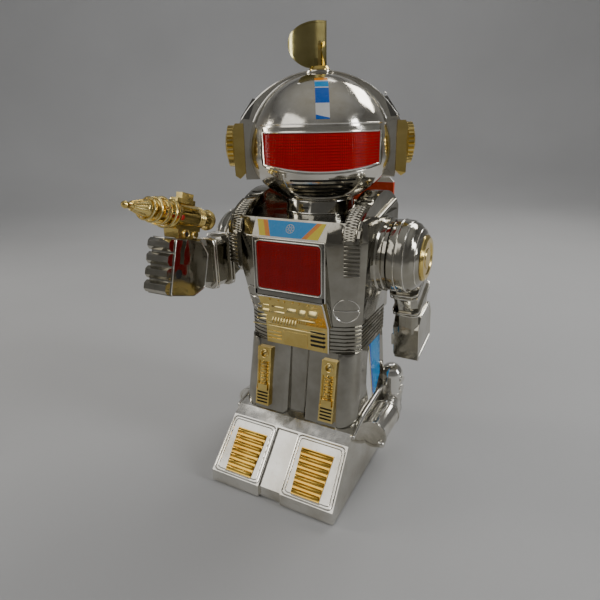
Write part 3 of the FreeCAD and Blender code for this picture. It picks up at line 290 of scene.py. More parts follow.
SILVER = plated("silver_plating", rgb(0.50, 0.48, 0.42), rgb(0.36, 0.335, 0.26), 0.05, 0.20, 0.9)
# A darker copy of the same plating for the body, deck, yoke and knurling: the darkness is painted shade, a
# dark reflection laid on as colour.
SHADED_BODY_SILVER = plated("body_silver_painted_shade", rgb(0.40, 0.385, 0.335), rgb(0.27, 0.25, 0.20), 0.05, 0.22, 1.1)
# A brighter copy of the same plating for the head: the extra brightness is painted light.
LIT_HEAD_SILVER = plated("head_silver_painted_light", rgb(0.80, 0.77, 0.69), rgb(0.62, 0.57, 0.46), 0.06, 0.22, 0.7)
# A brighter copy of the same plating for the base shell and thrusters: the extra brightness is painted light.
LIT_BASE_SILVER = plated("base_silver_painted_light", rgb(0.82, 0.80, 0.74), rgb(0.62, 0.585, 0.50), 0.10, 0.26, 0.8)
# The darkest copy of the same plating, for flat faces: the darkness is painted shade, a dark reflection laid
# on as colour.
SHADED_PLATE_SILVER = plated("flat_plate_silver_painted_shade", rgb(0.30, 0.29, 0.265), rgb(0.22, 0.21, 0.18), 0.16, 0.32, 0.3)
# The brightest copy of the same plating, used on edge lines and ridges: its colour is a painted highlight.
HIGHLIGHT_SILVER = plated("silver_painted_highlight", rgb(0.90, 0.88, 0.82), rgb(0.76, 0.72, 0.62), 0.12, 0.26, 0.2)
GOLD = plated("gold_plating", rgb(0.90, 0.70, 0.26), rgb(0.72, 0.52, 0.15), 0.08, 0.24, 0.5)
# A brighter copy of the gold plating, used on trims, rings and ridges: its colour is a painted highlight.
HIGHLIGHT_GOLD = plated("gold_painted_highlight", rgb(0.98, 0.82, 0.38), rgb(0.86, 0.64, 0.22), 0.14, 0.3, 0.2)
GRILLE_GOLD = plated("grille_gold", rgb(0.92, 0.60, 0.12), rgb(0.74, 0.43, 0.07), 0.12, 0.28, 0.4)
DISH_GOLD = plated("dish_gold", rgb(0.48, 0.41, 0.17), rgb(0.34, 0.28, 0.10), 0.12, 0.26, 0.4)
VISOR_RED = lens("visor_red", rgb(0.34, 0.0, 0.0), rgb(0.86, 0.012, 0.008), 1.3, 0.8, True)
CHEST_RED = lens("chest_red", rgb(0.20, 0.0, 0.0), rgb(0.72, 0.004, 0.004), 0.9, 0.9, False)
RED_RIB = plastic("red_rib", rgb(0.26, 0.0, 0.0), rgb(0.16, 0.0, 0.0), 0.3, 0.5)
RED_RIB.node_tree.nodes["Principled BSDF"].inputs["Specular IOR Level"].default_value = 0.15
DARK = plastic("dark_moulding", rgb(0.03, 0.03, 0.032), rgb(0.06, 0.058, 0.055), 0.45, 0.7)
# Near-black used for gaps, slots and holes: it is painted shade where the recesses fall dark.
RECESS_SHADE_BLACK = plastic("recess_shade_black", rgb(0.01, 0.01, 0.01), rgb(0.02, 0.02, 0.02), 0.6, 0.8)
WHITE_HUB = plastic("white_moulding", rgb(0.8, 0.79, 0.74), rgb(0.68, 0.66, 0.6), 0.35, 0.5)
RUBBER = plastic("tyre_rubber", rgb(0.025, 0.025, 0.026), rgb(0.05, 0.048, 0.045), 0.7, 0.9, 500.0)
STEEL = metal("drive_steel", rgb(0.62, 0.61, 0.6), rgb(0.48, 0.46, 0.44), 0.2, 0.42, (1.0, 12.0, 12.0))
BRASS = metal("wheel_brass", rgb(0.78, 0.57, 0.25), rgb(0.6, 0.4, 0.16), 0.22, 0.4, (6.0, 1.0, 6.0))
RED_DOT = plastic("red_paint", rgb(0.62, 0.03, 0.015), rgb(0.5, 0.02, 0.01), 0.2, 0.35)

INK_BLUE = rgb(0.0, 0.13, 0.60)
INK_SKY = rgb(0.0, 0.34, 0.80)
INK_ORANGE = rgb(0.95, 0.30, 0.01)
INK_YELLOW = rgb(0.95, 0.74, 0.03)
INK_WHITE = rgb(0.86, 0.86, 0.84)
INK_BLACK = rgb(0.015, 0.015, 0.02)


class Print(Tree):
    """Glossy printed label: flat inks laid out from the object's own millimetres."""

    def __init__(self, name, ground):
        super().__init__(name)
        self.x = self.math("MULTIPLY", self.axis("X"), 1 / MM)
        self.y = self.math("MULTIPLY", self.axis("Y"), 1 / MM)
        self.z = self.math("MULTIPLY", self.axis("Z"), 1 / MM)
        self.ink = ground

    def over(self, value, limit, colour):
        """Lay an ink wherever value is above the limit."""
        mask = self.level(self.math("SUBTRACT", value, limit), -0.04, 0.04)
        self.ink = self.mix(mask, self.ink, colour)

    def done(self):
        fade = self.level(self.noise(300.0, 4.0, 0.6), 0.3, 0.8, 0.0, 0.05)
        self.base(self.mix(fade, self.ink, rgb(0.75, 0.73, 0.68)))
        self.rough(self.level(self.noise(220.0, 3.0, 0.6), 0.3, 0.75, 0.14, 0.34))
        self.normal(self.bump(self.noise(160.0, 2.0, 0.5), 0.1, 0.0003))
        self.bsdf.inputs["Specular IOR Level"].default_value = 0.35
        return self.mat


def head_label():
    """Bands across the strip on the forehead, one of them slanted; each ink starts at a height."""
    t = Print("print_head_strip", INK_BLUE)
    slant = t.math("MULTIPLY_ADD", t.x, 0.25, t.z)
    for where, limit, colour in ((t.z, 222.3, INK_WHITE), (t.z, 222.9, INK_BLUE), (slant, 225.4, INK_WHITE),
                                 (t.z, 227.4, INK_BLUE), (t.z, 235.0, INK_WHITE), (t.z, 235.5, INK_SKY),
                                 (t.z, 238.4, INK_WHITE), (t.z, 238.9, INK_ORANGE), (t.z, 240.6, INK_YELLOW)):
        t.over(where, limit, colour)
    return t.done()


def chest_label():
    """Orange and yellow wings that spread upward on both sides, over a white lower edge."""
    t = Print("print_chest_label", INK_SKY)
    lift = t.math("SUBTRACT", t.z, 157.0)
    for side, spread, start in ((1.0, 0.95, 7.6), (-1.0, 0.42, 11.0)):
        reach = t.math("MULTIPLY", t.x, side)
        cross = t.math("MULTIPLY_ADD", lift, -spread, reach)
        t.over(cross, start, INK_ORANGE)
        t.over(cross, start + 3.0, INK_YELLOW)
    t.over(t.math("SUBTRACT", 157.95, t.z), 0.0, INK_WHITE)
    return t.done()


def leg_label():
    """Stripes along the front edge, which runs with the leg, and a corner cut off at the top."""
    t = Print("print_leg_label", INK_SKY)
    edge = t.math("MULTIPLY_ADD", t.z, 0.155, -13.2)
    edge = t.math("SUBTRACT", t.y, t.math("MAXIMUM", t.math("MULTIPLY", edge, -1.0), 0.0))
    for limit, colour in ((15.4, INK_BLUE), (12.6, INK_YELLOW), (11.8, INK_BLACK), (11.3, INK_WHITE)):
        t.over(t.math("SUBTRACT", limit, edge), 0.0, colour)
    corner = t.math("MULTIPLY_ADD", t.y, 0.9, t.z)
    t.over(corner, 118.0, INK_WHITE)
    t.over(corner, 119.0, INK_ORANGE)
    return t.done()


def fin_plastic():
    """Orange panel behind the head with a white top edge."""
    t = Print("orange_panel", rgb(0.86, 0.075, 0.012))
    t.over(t.z, 180.2, INK_WHITE)
    return t.done()


HEAD_LABEL, CHEST_LABEL, LEG_LABEL, FIN_ORANGE = head_label(), chest_label(), leg_label(), fin_plastic()


def paint(names, material):
    """Give the material to every CAD node whose name starts with one of these."""
    for node in nodes:
        if node.startswith(names):
            nodes[node].data.materials.clear()
            nodes[node].data.materials.append(material)


paint(("shoulder_bearing", "arm_", "backpack"), SILVER)
paint(("body_", "shoulder_deck", "yoke"), SHADED_BODY_SILVER)
paint(("head_front", "head_back", "head_band"), LIT_HEAD_SILVER)
paint(("base_shell", "thruster"), LIT_BASE_SILVER)
paint(("drive_axle", "front_axle", "layshaft", "mainspring", "base_screws", "motor_", "key", "ratchet_wheel",
       "click"), STEEL)
paint(("great_wheel", "lay_wheel", "axle_gear"), BRASS)
paint(("base_plate", "neck_post", "front_wheels"), DARK)
paint(("wheel_hub",), WHITE_HUB)
paint(("tyre",), RUBBER)
paint(("visor_lens",), VISOR_RED)
paint(("chest_lens",), CHEST_RED)
paint(("foot_grille",), GRILLE_GOLD)
paint(("radar_dish",), DISH_GOLD)
paint(("belly", "thigh", "ear_cup", "shoulder_cap", "gun", "radar_stem"), GOLD)
paint(("sticker_head",), HEAD_LABEL)
paint(("sticker_chest",), CHEST_LABEL)
paint(("sticker_leg",), LEG_LABEL)
paint(("backpack_fin",), FIN_ORANGE)


def soften(names, width):
    """Small rounded edges, of a width in metres, on the moulded parts."""
    for node in nodes:
        if node.startswith(names):
            weld = nodes[node].modifiers.new("weld", "WELD")
            weld.merge_threshold = 0.01 * MM
            bevel = nodes[node].modifiers.new("edges", "BEVEL")
            bevel.width = width
            bevel.segments = 2
            bevel.limit_method = "ANGLE"
            bevel.angle_limit = math.radians(32)
            bevel.harden_normals = True


soften(("base_shell", "body_", "shoulder_deck", "yoke", "backpack", "arm_", "thruster"), 0.35 * MM)
soften(("belly", "thigh", "gun", "ear_cup", "foot_grille", "chest_lens", "head_band"), 0.18 * MM)


# ---- small detail pieces -------------------------------------------------
class Detail:
    """One small piece drawn in millimetres, with beads, rods, blocks and turned shapes."""

    def __init__(self):
        self.bm = bmesh.new()

    def bead(self, points, radius, closed=False, sides=8, flat=1.0):
        """Round bead swept along a line of points; flat squashes it along the local up direction."""
        points = [Vector(p) for p in points]
        count = len(points)
        rings = []
        side = None
        for i, point in enumerate(points):
            before = points[i - 1] if closed or i else point
            after = points[(i + 1) % count] if closed or i < count - 1 else point
            way = (after - before).normalized()
            if side is None:
                seed = Vector((0, 0, 1)) if abs(way.z) < 0.9 else Vector((1, 0, 0))
                side = seed.cross(way).normalized()
            side = (side - way * side.dot(way)).normalized()
            other = way.cross(side)
            ring = []
            for k in range(sides):
                angle = 2 * math.pi * k / sides
                offset = side * math.cos(angle) * radius + other * math.sin(angle) * radius * flat
                ring.append(self.bm.verts.new(point + offset))
            rings.append(ring)
        spans = count if closed else count - 1
        for i in range(spans):
            a, b = rings[i], rings[(i + 1) % count]
            for k in range(sides):
                m = (k + 1) % sides
                self.bm.faces.new((a[k], a[m], b[m], b[k]))
        if not closed:
            self.bm.faces.new(list(reversed(rings[0])))
            self.bm.faces.new(rings[-1])

    def block(self, low, high, edge=0.25, frame=None):
        """Block with chamfered edges between two corners."""
        part = bmesh.new()
        bmesh.ops.create_cube(part, size=1.0)
        size = [h - l for l, h in zip(low, high)]
        middle = [(h + l) / 2 for l, h in zip(low, high)]
        for v in part.verts:
            v.co = Vector([c * s + m for c, s, m in zip(v.co, size, middle)])
        bmesh.ops.bevel(part, geom=part.edges[:], offset=min(edge, min(size) * 0.3), segments=2,
                        affect="EDGES", profile=0.5)
        self.take(part, frame)

    def slab(self, points, way, thick):
        """Flat plate: a polygon drawn point by point and thickened along a direction."""
        near = [self.bm.verts.new(Vector(p)) for p in points]
        far = [self.bm.verts.new(Vector(p) + Vector(way) * thick) for p in points]
        self.bm.faces.new(near)
        self.bm.faces.new(list(reversed(far)))
        for i in range(len(points)):
            j = (i + 1) % len(points)
            self.bm.faces.new((near[j], near[i], far[i], far[j]))

    def turn(self, profile, origin, axis, steps=48, frame=None):
        """Solid of revolution; the profile lists (distance along the axis, radius)."""
        part = bmesh.new()
        axis = Vector(axis).normalized()
        seed = Vector((0, 0, 1)) if abs(axis.z) < 0.9 else Vector((1, 0, 0))
        u = seed.cross(axis).normalized()
        v = axis.cross(u)
        rings = []
        for along, radius in profile:
            centre = Vector(origin) + axis * along
            rings.append([part.verts.new(centre + (u * math.cos(2 * math.pi * k / steps)
                                                   + v * math.sin(2 * math.pi * k / steps)) * radius)
                          for k in range(steps)])
        for a, b in zip(rings, rings[1:]):
            for k in range(steps):
                m = (k + 1) % steps
                part.faces.new((a[k], a[m], b[m], b[k]))
        part.faces.new(list(reversed(rings[0])))
        part.faces.new(rings[-1])
        self.take(part, frame)

    def take(self, part, frame=None):
        """Move a finished part into this piece."""
        if frame is not None:
            part.transform(frame)
        holder = bpy.data.meshes.new("part")
        part.to_mesh(holder)
        self.bm.from_mesh(holder)
        bpy.data.meshes.remove(holder)
        part.free()

    def place(self, name, body, slot, material, frame=None):
        """Finish the piece: millimetres to metres, smooth shading, material and body; the slot argument is
        not used.
        """
        if frame is not None:
            self.bm.transform(frame)
        bmesh.ops.recalc_face_normals(self.bm, faces=self.bm.faces[:])
        self.bm.transform(Matrix.Scale(MM, 4))
        mesh = bpy.data.meshes.new(name)
        self.bm.to_mesh(mesh)
        self.bm.free()
        for polygon in mesh.polygons:
            polygon.use_smooth = True
        mesh.set_sharp_from_angle(angle=math.radians(40))
        mesh.materials.append(material)
        piece = bpy.data.objects.new(name, mesh)
        bpy.context.scene.collection.objects.link(piece)
        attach(piece, body)
        return piece


def arc(centre, radius, start, end, count, u=(1, 0, 0), v=(0, 0, 1)):
    """Points of an arc from u towards v, between two angles in degrees."""
    centre, u, v = Vector(centre), Vector(u), Vector(v)
    out = []
    for k in range(count + 1):
        angle = math.radians(start + (end - start) * k / count)
        out.append(centre + (u * math.cos(angle) + v * math.sin(angle)) * radius)
    return out


def rounded(corners, radius, count=5):
    """Closed outline through the corners (3-D points) with rounded corners."""
    corners = [Vector(c) for c in corners]
    out = []
    for i, corner in enumerate(corners):
        a = (corners[i - 1] - corner).normalized()
        b = (corners[(i + 1) % len(corners)] - corner).normalized()
        start, end = corner + a * radius, corner + b * radius
        for k in range(count + 1):
            s = k / count
            out.append(start.lerp(corner, s).lerp(corner.lerp(end, s), s))
    return out


def smooth_line(points, steps=6):
    """Catmull-Rom line through the points."""
    points = [Vector(p) for p in points]
    padded = [points[0] * 2 - points[1]] + points + [points[-1] * 2 - points[-2]]
    out = []
    for i in range(1, len(padded) - 2):
        p0, p1, p2, p3 = padded[i - 1:i + 3]
        for k in range(steps):
            s = k / steps
            out.append(0.5 * ((2 * p1) + (p2 - p0) * s + (2 * p0 - 5 * p1 + 4 * p2 - p3) * s * s
                              + (3 * p1 - p0 - 3 * p2 + p3) * s ** 3))
    out.append(points[-1])
    return out


def laid_on(points, names, way, proud, back_off=20.0):
    """Points moved along a direction until they lie on the outer face of the CAD nodes named."""
    way = Vector(way).normalized()
    out = []
    for point in points:
        best = None
        for name in names:
            node = nodes[name]
            inverse = node.matrix_world.inverted()
            start = inverse @ ((Vector(point) - way * back_off) * MM)
            ray = (inverse.to_3x3() @ way).normalized()
            hit, place, _, _ = node.ray_cast(start, ray)
            if hit:
                where = (node.matrix_world @ place) / MM
                if best is None or (where - best).dot(way) < 0:
                    best = where
        out.append((best if best is not None else Vector(point)) - way * proud)
    return out


HEAD_FRAME = (Matrix.Translation((0, NECK_Y, 0)) @ Matrix.Rotation(HEAD_TURN, 4, "Z")
              @ Matrix.Translation((0, -NECK_Y, 0)))
MIRROR = Matrix.Scale(-1, 4, (1, 0, 0))


def head_radius(z, inset=0.0):
    """Radius of the head's outer face at a height."""
    down = HEAD_Z - z
    if down < 0:
        return math.sqrt((HEAD_R - inset) ** 2 - down ** 2)
    if down < JAW_TURN:
        return HEAD_R - JAW_SIDE_R + math.sqrt((JAW_SIDE_R - inset) ** 2 - down ** 2)
    return math.sqrt((JAW_LOW_R - inset) ** 2 - (down + JAW_LIFT) ** 2)


def on_head(x, z, proud=0.0):
    """Point on the front of the head at a sideways distance and height."""
    radius = head_radius(z, -proud)
    return Vector((x, NECK_Y - math.sqrt(max(radius ** 2 - x ** 2, 0.0)), z))


def around_head(angle, z, radius):
    """Point round the head's axis, with the angle counted from the face."""
    return Vector((radius * math.sin(angle), NECK_Y - radius * math.cos(angle), z))


# visor: bezel round the opening and brow line in the lighter silver that paints on a highlight, moulded ribs
# of the lens
def visor_low(x):
    """Height of the visor's curved lower edge at a sideways distance."""
    u = x / (HEAD_R * math.sin(math.radians(VISOR_HALF)) + 2.0)
    return VISOR_LOW + (VISOR_CORNER - VISOR_LOW) * u * u


def visor_outline(radius, grow, count=40):
    """Closed line round the visor on a radius, let out by grow."""
    half = math.radians(VISOR_HALF + grow * 1.3)
    angles = [half - 2 * half * k / count for k in range(count + 1)]
    low = [around_head(-a, visor_low(radius * math.sin(-a)) - grow, radius) for a in angles]
    high = [around_head(a, VISOR_TOP + grow, radius) for a in angles]
    return low + high


bezel = Detail()
bezel.bead(visor_outline(HEAD_R - 1.25, 0.15), 0.55, closed=True)
bezel.place("visor_bezel", "head", "silver_shell", HIGHLIGHT_SILVER, HEAD_FRAME)

brow = Detail()
reach = math.radians(58)
brow_z = 217.3
brow_r = head_radius(brow_z) - 0.1
brow.bead([around_head(reach - 2 * reach * k / 40, brow_z, brow_r) for k in range(41)], 0.42)
brow.place("brow_line", "head", "silver_shell", HIGHLIGHT_SILVER, HEAD_FRAME)

ribs = Detail()
half = math.radians(VISOR_HALF - 1.0)
for row in range(13):
    z = VISOR_LOW + 1.2 + row * 1.5
    line = []
    for k in range(49):
        angle = half - 2 * half * k / 48
        point = around_head(angle, z, RIB_R)
        if visor_low(point.x) + 0.5 < z < VISOR_TOP - 0.4:
            line.append(point)
        elif len(line) > 1 and point.x < 0:
            break
        elif point.x > 0:
            line = []
    if len(line) > 2:
        ribs.bead(line, 0.14, sides=6)
for column in range(-34, 35):
    angle = half * column / 34.5
    point = around_head(angle, 0, RIB_R)
    low = visor_low(point.x) + 0.5
    ribs.bead([(point.x, point.y, low), (point.x, point.y, VISOR_TOP - 0.4)], 0.11, sides=5)
ribs.place("visor_ribs", "head", "red_lens", RED_RIB, HEAD_FRAME)

# mouth: raised U around the louvres in the lighter silver that paints on a highlight, and black beads between
# them as painted shade in the gaps
mouth = Detail()
outline = [(21.4, 192.0), (21.0, 188.5), (19.0, 183.8), (15.6, 180.2), (9.5, 177.9), (0.0, 177.3)]
points = [on_head(x, z, 0.1) for x, z in outline]
points += [on_head(-x, z, 0.1) for x, z in reversed(outline[:-1])]
mouth.bead(smooth_line(points), 0.55)
mouth.place("mouth_ridge", "head", "silver_shell", HIGHLIGHT_SILVER, HEAD_FRAME)
gaps = Detail()
for k in range(5):
    z = 178.6 + 2.35 * k + 0.55
    reach = 13.3 + 1.1 * k
    gaps.bead([on_head(-reach + 2 * reach * i / 16, z, -1.25) for i in range(17)], 0.5, sides=6)
gaps.place("mouth_gaps", "head", "dark_plastic", RECESS_SHADE_BLACK, HEAD_FRAME)

# head band: edge lines, one screw, and fine ridges down the ear brackets, all in the lighter silver that
# paints on a highlight
band = Detail()
for y in (NECK_Y - 2.9, NECK_Y + 2.9):
    band.bead(arc((0, y, BAND_Z), BAND_R, 33, 147, 48), 0.4)
for side in (-1, 1):
    for y in (NECK_Y - 6.6, NECK_Y - 2.4, NECK_Y + 2.4, NECK_Y + 6.6):
        band.bead([(side * 44.0, y, 187.6), (side * 44.0, y, 218.2)], 0.4)
for y in (NECK_Y - 3.2, NECK_Y + 3.2):
    band.bead(arc((0, y, HEAD_Z), 42.1, 22, 158, 60), 0.38)
    band.bead(arc((0, y, BAND_Z), BAND_R - 0.3, 33, 147, 60), 0.42)
band.turn([(-0.3, 1.3), (0.3, 1.3), (0.55, 0.9)], (37.8, NECK_Y - 1.0, 233.0), (0.68, 0, 0.73), 20)
band.place("head_band_lines", "head", "silver_shell", HIGHLIGHT_SILVER, HEAD_FRAME)

# Thin slabs on the head band in the darkest silver: painted shade.
insets = Detail()
for side in (-1, 1):
    outline = ((36.9, 231.2), (38.6, 231.6), (46.2, 221.0), (41.2, 220.4))
    insets.slab([(side * x, NECK_Y - 3.12, z) for x, z in outline], (0, -1, 0), 0.22)
insets.place("head_band_insets", "head", "silver_shell", SHADED_PLATE_SILVER, HEAD_FRAME)

# chest: edge lines round the front plate and the window, in the lighter silver that paints on a highlight
frame_lines = Detail()
window = [(-WINDOW_HALF, WINDOW_Y, WINDOW_LOW), (WINDOW_HALF, WINDOW_Y, WINDOW_LOW),
          (WINDOW_HALF, WINDOW_Y, WINDOW_HIGH), (-WINDOW_HALF, WINDOW_Y, WINDOW_HIGH)]
frame_lines.bead(rounded(window, 3.0), 0.35, closed=True)
y = WINDOW_Y + 0.1
for side in (-1, 1):
    frame_lines.bead([(side * PLATE_HALF, y, 122.3), (side * PLATE_HALF, y, PLATE_HIGH)], 0.32)
frame_lines.bead([(-PLATE_HALF, y, PLATE_HIGH), (PLATE_HALF, y, PLATE_HIGH)], 0.32)
frame_lines.place("chest_edge_lines", "body", "silver_shell", HIGHLIGHT_SILVER)

# Thin skin over the chest's front plate in the darkest silver: painted shade.
plate = Detail()
for x0, x1, z1 in ((-22.9, -21.5, 156.6), (21.5, 22.9, 156.6), (-22.9, 22.9, 125.2)):
    plate.block((x0, -20.72, 122.2), (x1, -20.58, z1), 0.03)
plate.place("chest_plate_skin", "body", "silver_shell", SHADED_PLATE_SILVER)

grid = Detail()
for k in range(40):
    x = -GRID_HALF + 2 * GRID_HALF * k / 39
    grid.bead([(x, GRID_Y, GRID_LOW), (x, GRID_Y, GRID_HIGH)], 0.11, sides=4)
for k in range(27):
    z = GRID_LOW + (GRID_HIGH - GRID_LOW) * k / 26
    grid.bead([(-GRID_HALF, GRID_Y, z), (GRID_HALF, GRID_Y, z)], 0.11, sides=4)
grid.place("chest_lens_grid", "body", "red_lens", RED_RIB)

# belly: rim in the lighter silver that paints on a highlight, buttons on the sloped face, raised blocks and
# bars on the upright face in the lighter gold that paints on a highlight, and black blocks between the bars
# as painted shade
def on_belly(x, down, proud=0.0):
    """Point on the sloped face of the belly plate, measured down from its top edge."""
    return Vector((x, BELLY_TOP[0] + down * math.sin(BELLY_SLOPE) - proud * math.cos(BELLY_SLOPE),
                   BELLY_TOP[1] - down * math.cos(BELLY_SLOPE) - proud * math.sin(BELLY_SLOPE)))


rim = Detail()
rim.bead([on_belly(-21.6, 0.3, 0.1), on_belly(21.2, 0.3, 0.1), on_belly(21.5, 0.8, 0.1),
          on_belly(21.6, 20.1, 0.1), (21.6, -12.3, 86.9)], 0.5)
rim.place("belly_rim", "body", "silver_shell", HIGHLIGHT_SILVER)
trim = Detail()
block_frame = Matrix.Translation((0, *BELLY_TOP)) @ Matrix.Rotation(-BELLY_SLOPE, 4, "X")


def belly_block(x0, x1, d0, d1, proud=0.4):
    """Raised block between two distances down from the plate's top edge.

    Known fault: block_frame leans forward and the plate leans back, so the lower a block is, the further it
    stands off the plate. Turning by +BELLY_SLOPE would lay it on.
    """
    trim.block((x0, -proud, -d1), (x1, 0.4, -d0), 0.15, block_frame)


for k in range(7):
    x = -14.0 + 5.0 * k + (k % 2) * 0.8
    trim.turn([(-0.3, 0.75), (0.35, 0.7), (0.6, 0.35)], on_belly(x, 2.7 + (k % 3) * 0.25),
              (0, -math.cos(BELLY_SLOPE), -math.sin(BELLY_SLOPE)), 14)
for x0, x1, d0, d1 in ((-19.5, -12.0, 4.9, 6.0), (-10.5, -2.2, 5.2, 6.4), (0.0, 6.2, 5.2, 7.8),
                       (8.0, 12.4, 5.0, 8.6), (14.0, 19.6, 4.6, 8.4), (-19.5, -11.4, 7.4, 9.6),
                       (-19.0, -12.2, 11.0, 12.0), (-19.0, -12.2, 13.2, 14.2), (-10.2, -1.0, 8.0, 9.4),
                       (8.0, 19.2, 10.4, 11.4)):
    belly_block(x0, x1, d0, d1)
for k in range(9):
    belly_block(-8.6 + 1.9 * k, -7.5 + 1.9 * k, 11.6, 15.4, 0.6)
belly_block(-21.0, 21.0, 16.6, 17.3, 0.5)
for x0, x1, z0, z1 in ((-20.6, -12.6, 100.2, 101.2), (-20.6, -11.0, 94.0, 95.0),
                       (-20.6, -11.0, 91.6, 92.4), (-20.6, -11.0, 89.2, 90.0),
                       (9.5, 19.8, 99.8, 100.8), (-9.0, 7.6, 98.4, 99.6)):
    trim.block((x0, -12.75, z0), (x1, -11.8, z1), 0.15)
trim.place("belly_details", "body", "gold_trim", HIGHLIGHT_GOLD)
gaps = Detail()
for k in range(4):
    gaps.block((9.7, -12.74, 90.2 + 2.9 * k), (19.4, -12.0, 91.3 + 2.9 * k), 0.1)
gaps.place("belly_gaps", "body", "dark_plastic", RECESS_SHADE_BLACK)

# ring, open in two places, with a bar on each flank of the chest, in the lighter silver that paints on a
# highlight
for side, name in SIDES:
    badge = Detail()
    into = Vector((-0.33 * side, 0.94, 0.0))
    across = Vector((0.94, 0.33 * side, 0.0))
    centre = Vector((33.2 * side, -14.0, 115.0))
    for start, end, count in ((98, 352, 40), (8, 82, 14)):
        line = arc(centre, 7.6, start, end, count, across, (0, 0, 1))
        badge.bead(laid_on(line, ("body_front",), into, 0.05), 0.34)
    bar = [centre + across * (-7.2 + 14.4 * k / 12) for k in range(13)]
    badge.bead(laid_on(bar, ("body_front",), into, 0.05), 0.4)
    badge.place("flank_emblem_" + name, "body", "silver_shell", HIGHLIGHT_SILVER)

# foot panels: raised double frame in the lighter silver that paints on a highlight
def on_foot(x, along, proud=0.0):
    """Point on a sloped foot panel, measured up from its lower edge."""
    return Vector((x, FOOT_LOW[0] + along * math.cos(FOOT_SLOPE) - proud * math.sin(FOOT_SLOPE),
                   FOOT_LOW[1] + along * math.sin(FOOT_SLOPE) + proud * math.cos(FOOT_SLOPE)))


for side, name in SIDES:
    panel = Detail()
    for grow, radius, width in ((0.0, 3.0, 0.5), (-1.7, 2.4, 0.35)):
        corners = [on_foot(8.4 - grow, 1.0 - grow, 0.05), on_foot(41.3 + grow, 1.0 - grow, 0.05),
                   on_foot(39.9 + grow, 37.0 + grow, 0.05), on_foot(8.4 - grow, 37.0 + grow, 0.05)]
        panel.bead(rounded(corners, radius), width, closed=True)
    panel.bead([on_foot(15.0, 2.1, 0.1), on_foot(33.6, 2.1, 0.1)], 0.3)
    panel.bead([(8.2, -52.6, 0.9), (8.2, -52.8, 7.4)], 0.4)
    panel.place("foot_panel_frame_" + name, "body", "silver_shell", HIGHLIGHT_SILVER,
                MIRROR if side < 0 else None)

# thighs: slotted screw and piston rings in the lighter gold that paints on a highlight, and black bars for
# the screw slot and louvres as painted shade, on the gold plates
for side, name in SIDES:
    node = "thigh_plate_" + name
    ahead = (0, 1, 0)
    mid_x = THIGH_X * side
    gold_lines, louvres = Detail(), Detail()
    centre = Vector((mid_x, -20.0, 78.6))
    gold_lines.bead(laid_on(arc(centre, 2.7, 0, 345, 23), (node,), ahead, 0.15), 0.34, closed=True)
    head = laid_on([centre], (node,), ahead, 0.0)[0]
    gold_lines.turn([(-1.2, 1.75), (0.3, 1.75), (0.8, 1.1)], head, (0, -1, 0.18), 24)
    for k in range(10):
        z = 58.6 + 1.5 * k
        ring = [Vector((mid_x + x, 0, z)) for x in (-2.3, -1.6, -0.8, 0.0, 0.8, 1.6, 2.3)]
        depth = laid_on([ring[3]], (node,), ahead, 0.0)[0].y
        gold_lines.bead([(p.x, depth + 0.12 * (p.x - mid_x) ** 2, z) for p in ring], 0.4)
    for x in (-4.6, 4.6):
        edge_line = [Vector((mid_x + x, 0, 44.4 + 38.0 * k / 12)) for k in range(13)]
        gold_lines.bead(laid_on(edge_line, (node,), ahead, 0.05), 0.26)
    gold_lines.place("thigh_lines_" + name, "body", "gold_trim", HIGHLIGHT_GOLD)
    slot_way = Vector((0.8, 0, 0.6))
    slot_middle = head + Vector((0, -0.82, 0.1))
    louvres.bead([slot_middle - slot_way * 1.2, slot_middle + slot_way * 1.2], 0.24, sides=6)
    for k in range(4):
        bar = [Vector((mid_x - 3.7 + 7.4 * i / 6, 0, 45.45 + 2.16 * k)) for i in range(7)]
        louvres.bead(laid_on(bar, (node,), ahead, 0.1), 0.45, sides=6)
    louvres.place("thigh_louvres_" + name, "body", "dark_plastic", RECESS_SHADE_BLACK)

# neck ring: foot and top lines in the lighter silver that paints on a highlight
neck = Detail()
for z, radius in ((168.0, NECK_R + 0.1), (174.8, NECK_R)):
    neck.bead(arc((0, NECK_Y, z), radius, 0, 355, 71, (1, 0, 0), (0, 1, 0)), 0.35, closed=True)
neck.place("neck_lines", "body", "silver_shell", HIGHLIGHT_SILVER)

# ridges along the channel between the legs, in the lighter silver that paints on a highlight
channel = Detail()
for side in (-1, 1):
    channel.bead([(side * 6.8, -14.9, 40.5), (side * 6.8, -8.0, 86.2)], 0.4)
channel.place("leg_channel_lines", "body", "silver_shell", HIGHLIGHT_SILVER)

# yoke: knurled strip over the ribbed column, in the darker body silver that paints on shade
for side, name in SIDES:
    knurl = Detail()
    spine = [(-17.9, 159.0), (-16.7, 163.6), (-13.0, 168.4), (-7.4, 172.0), (-1.0, 174.9)]
    line = smooth_line([(36.0, y, z) for y, z in spine], 7)
    for index, point in enumerate(line[:-1]):
        flip = 1 if index % 2 else -1
        way = (line[index + 1] - point).normalized()
        normal = Vector((0, -way.z, way.y))
        shift = way * 0.9 * flip
        base = point - normal * 0.15
        knurl.bead([base + Vector((-3.3, 0, 0)) + shift, base + normal * 0.35,
                    base + Vector((3.3, 0, 0)) - shift], 0.55, sides=6)
    for x in (-3.9, 3.9):
        knurl.bead([p + Vector((x, 0, 0)) for p in line], 0.38)
    knurl.place("yoke_knurling_" + name, "body", "silver_shell", SHADED_BODY_SILVER,
                MIRROR if side < 0 else None)

# black bead as painted shade in the slot of the neck ring
slot_piece = Detail()
slot_piece.bead(arc((0, NECK_Y, 171.2), NECK_R, -96, -84, 6, (1, 0, 0), (0, 1, 0)), 0.75, flat=0.6)
slot_piece.place("neck_slot", "body", "dark_plastic", RECESS_SHADE_BLACK)

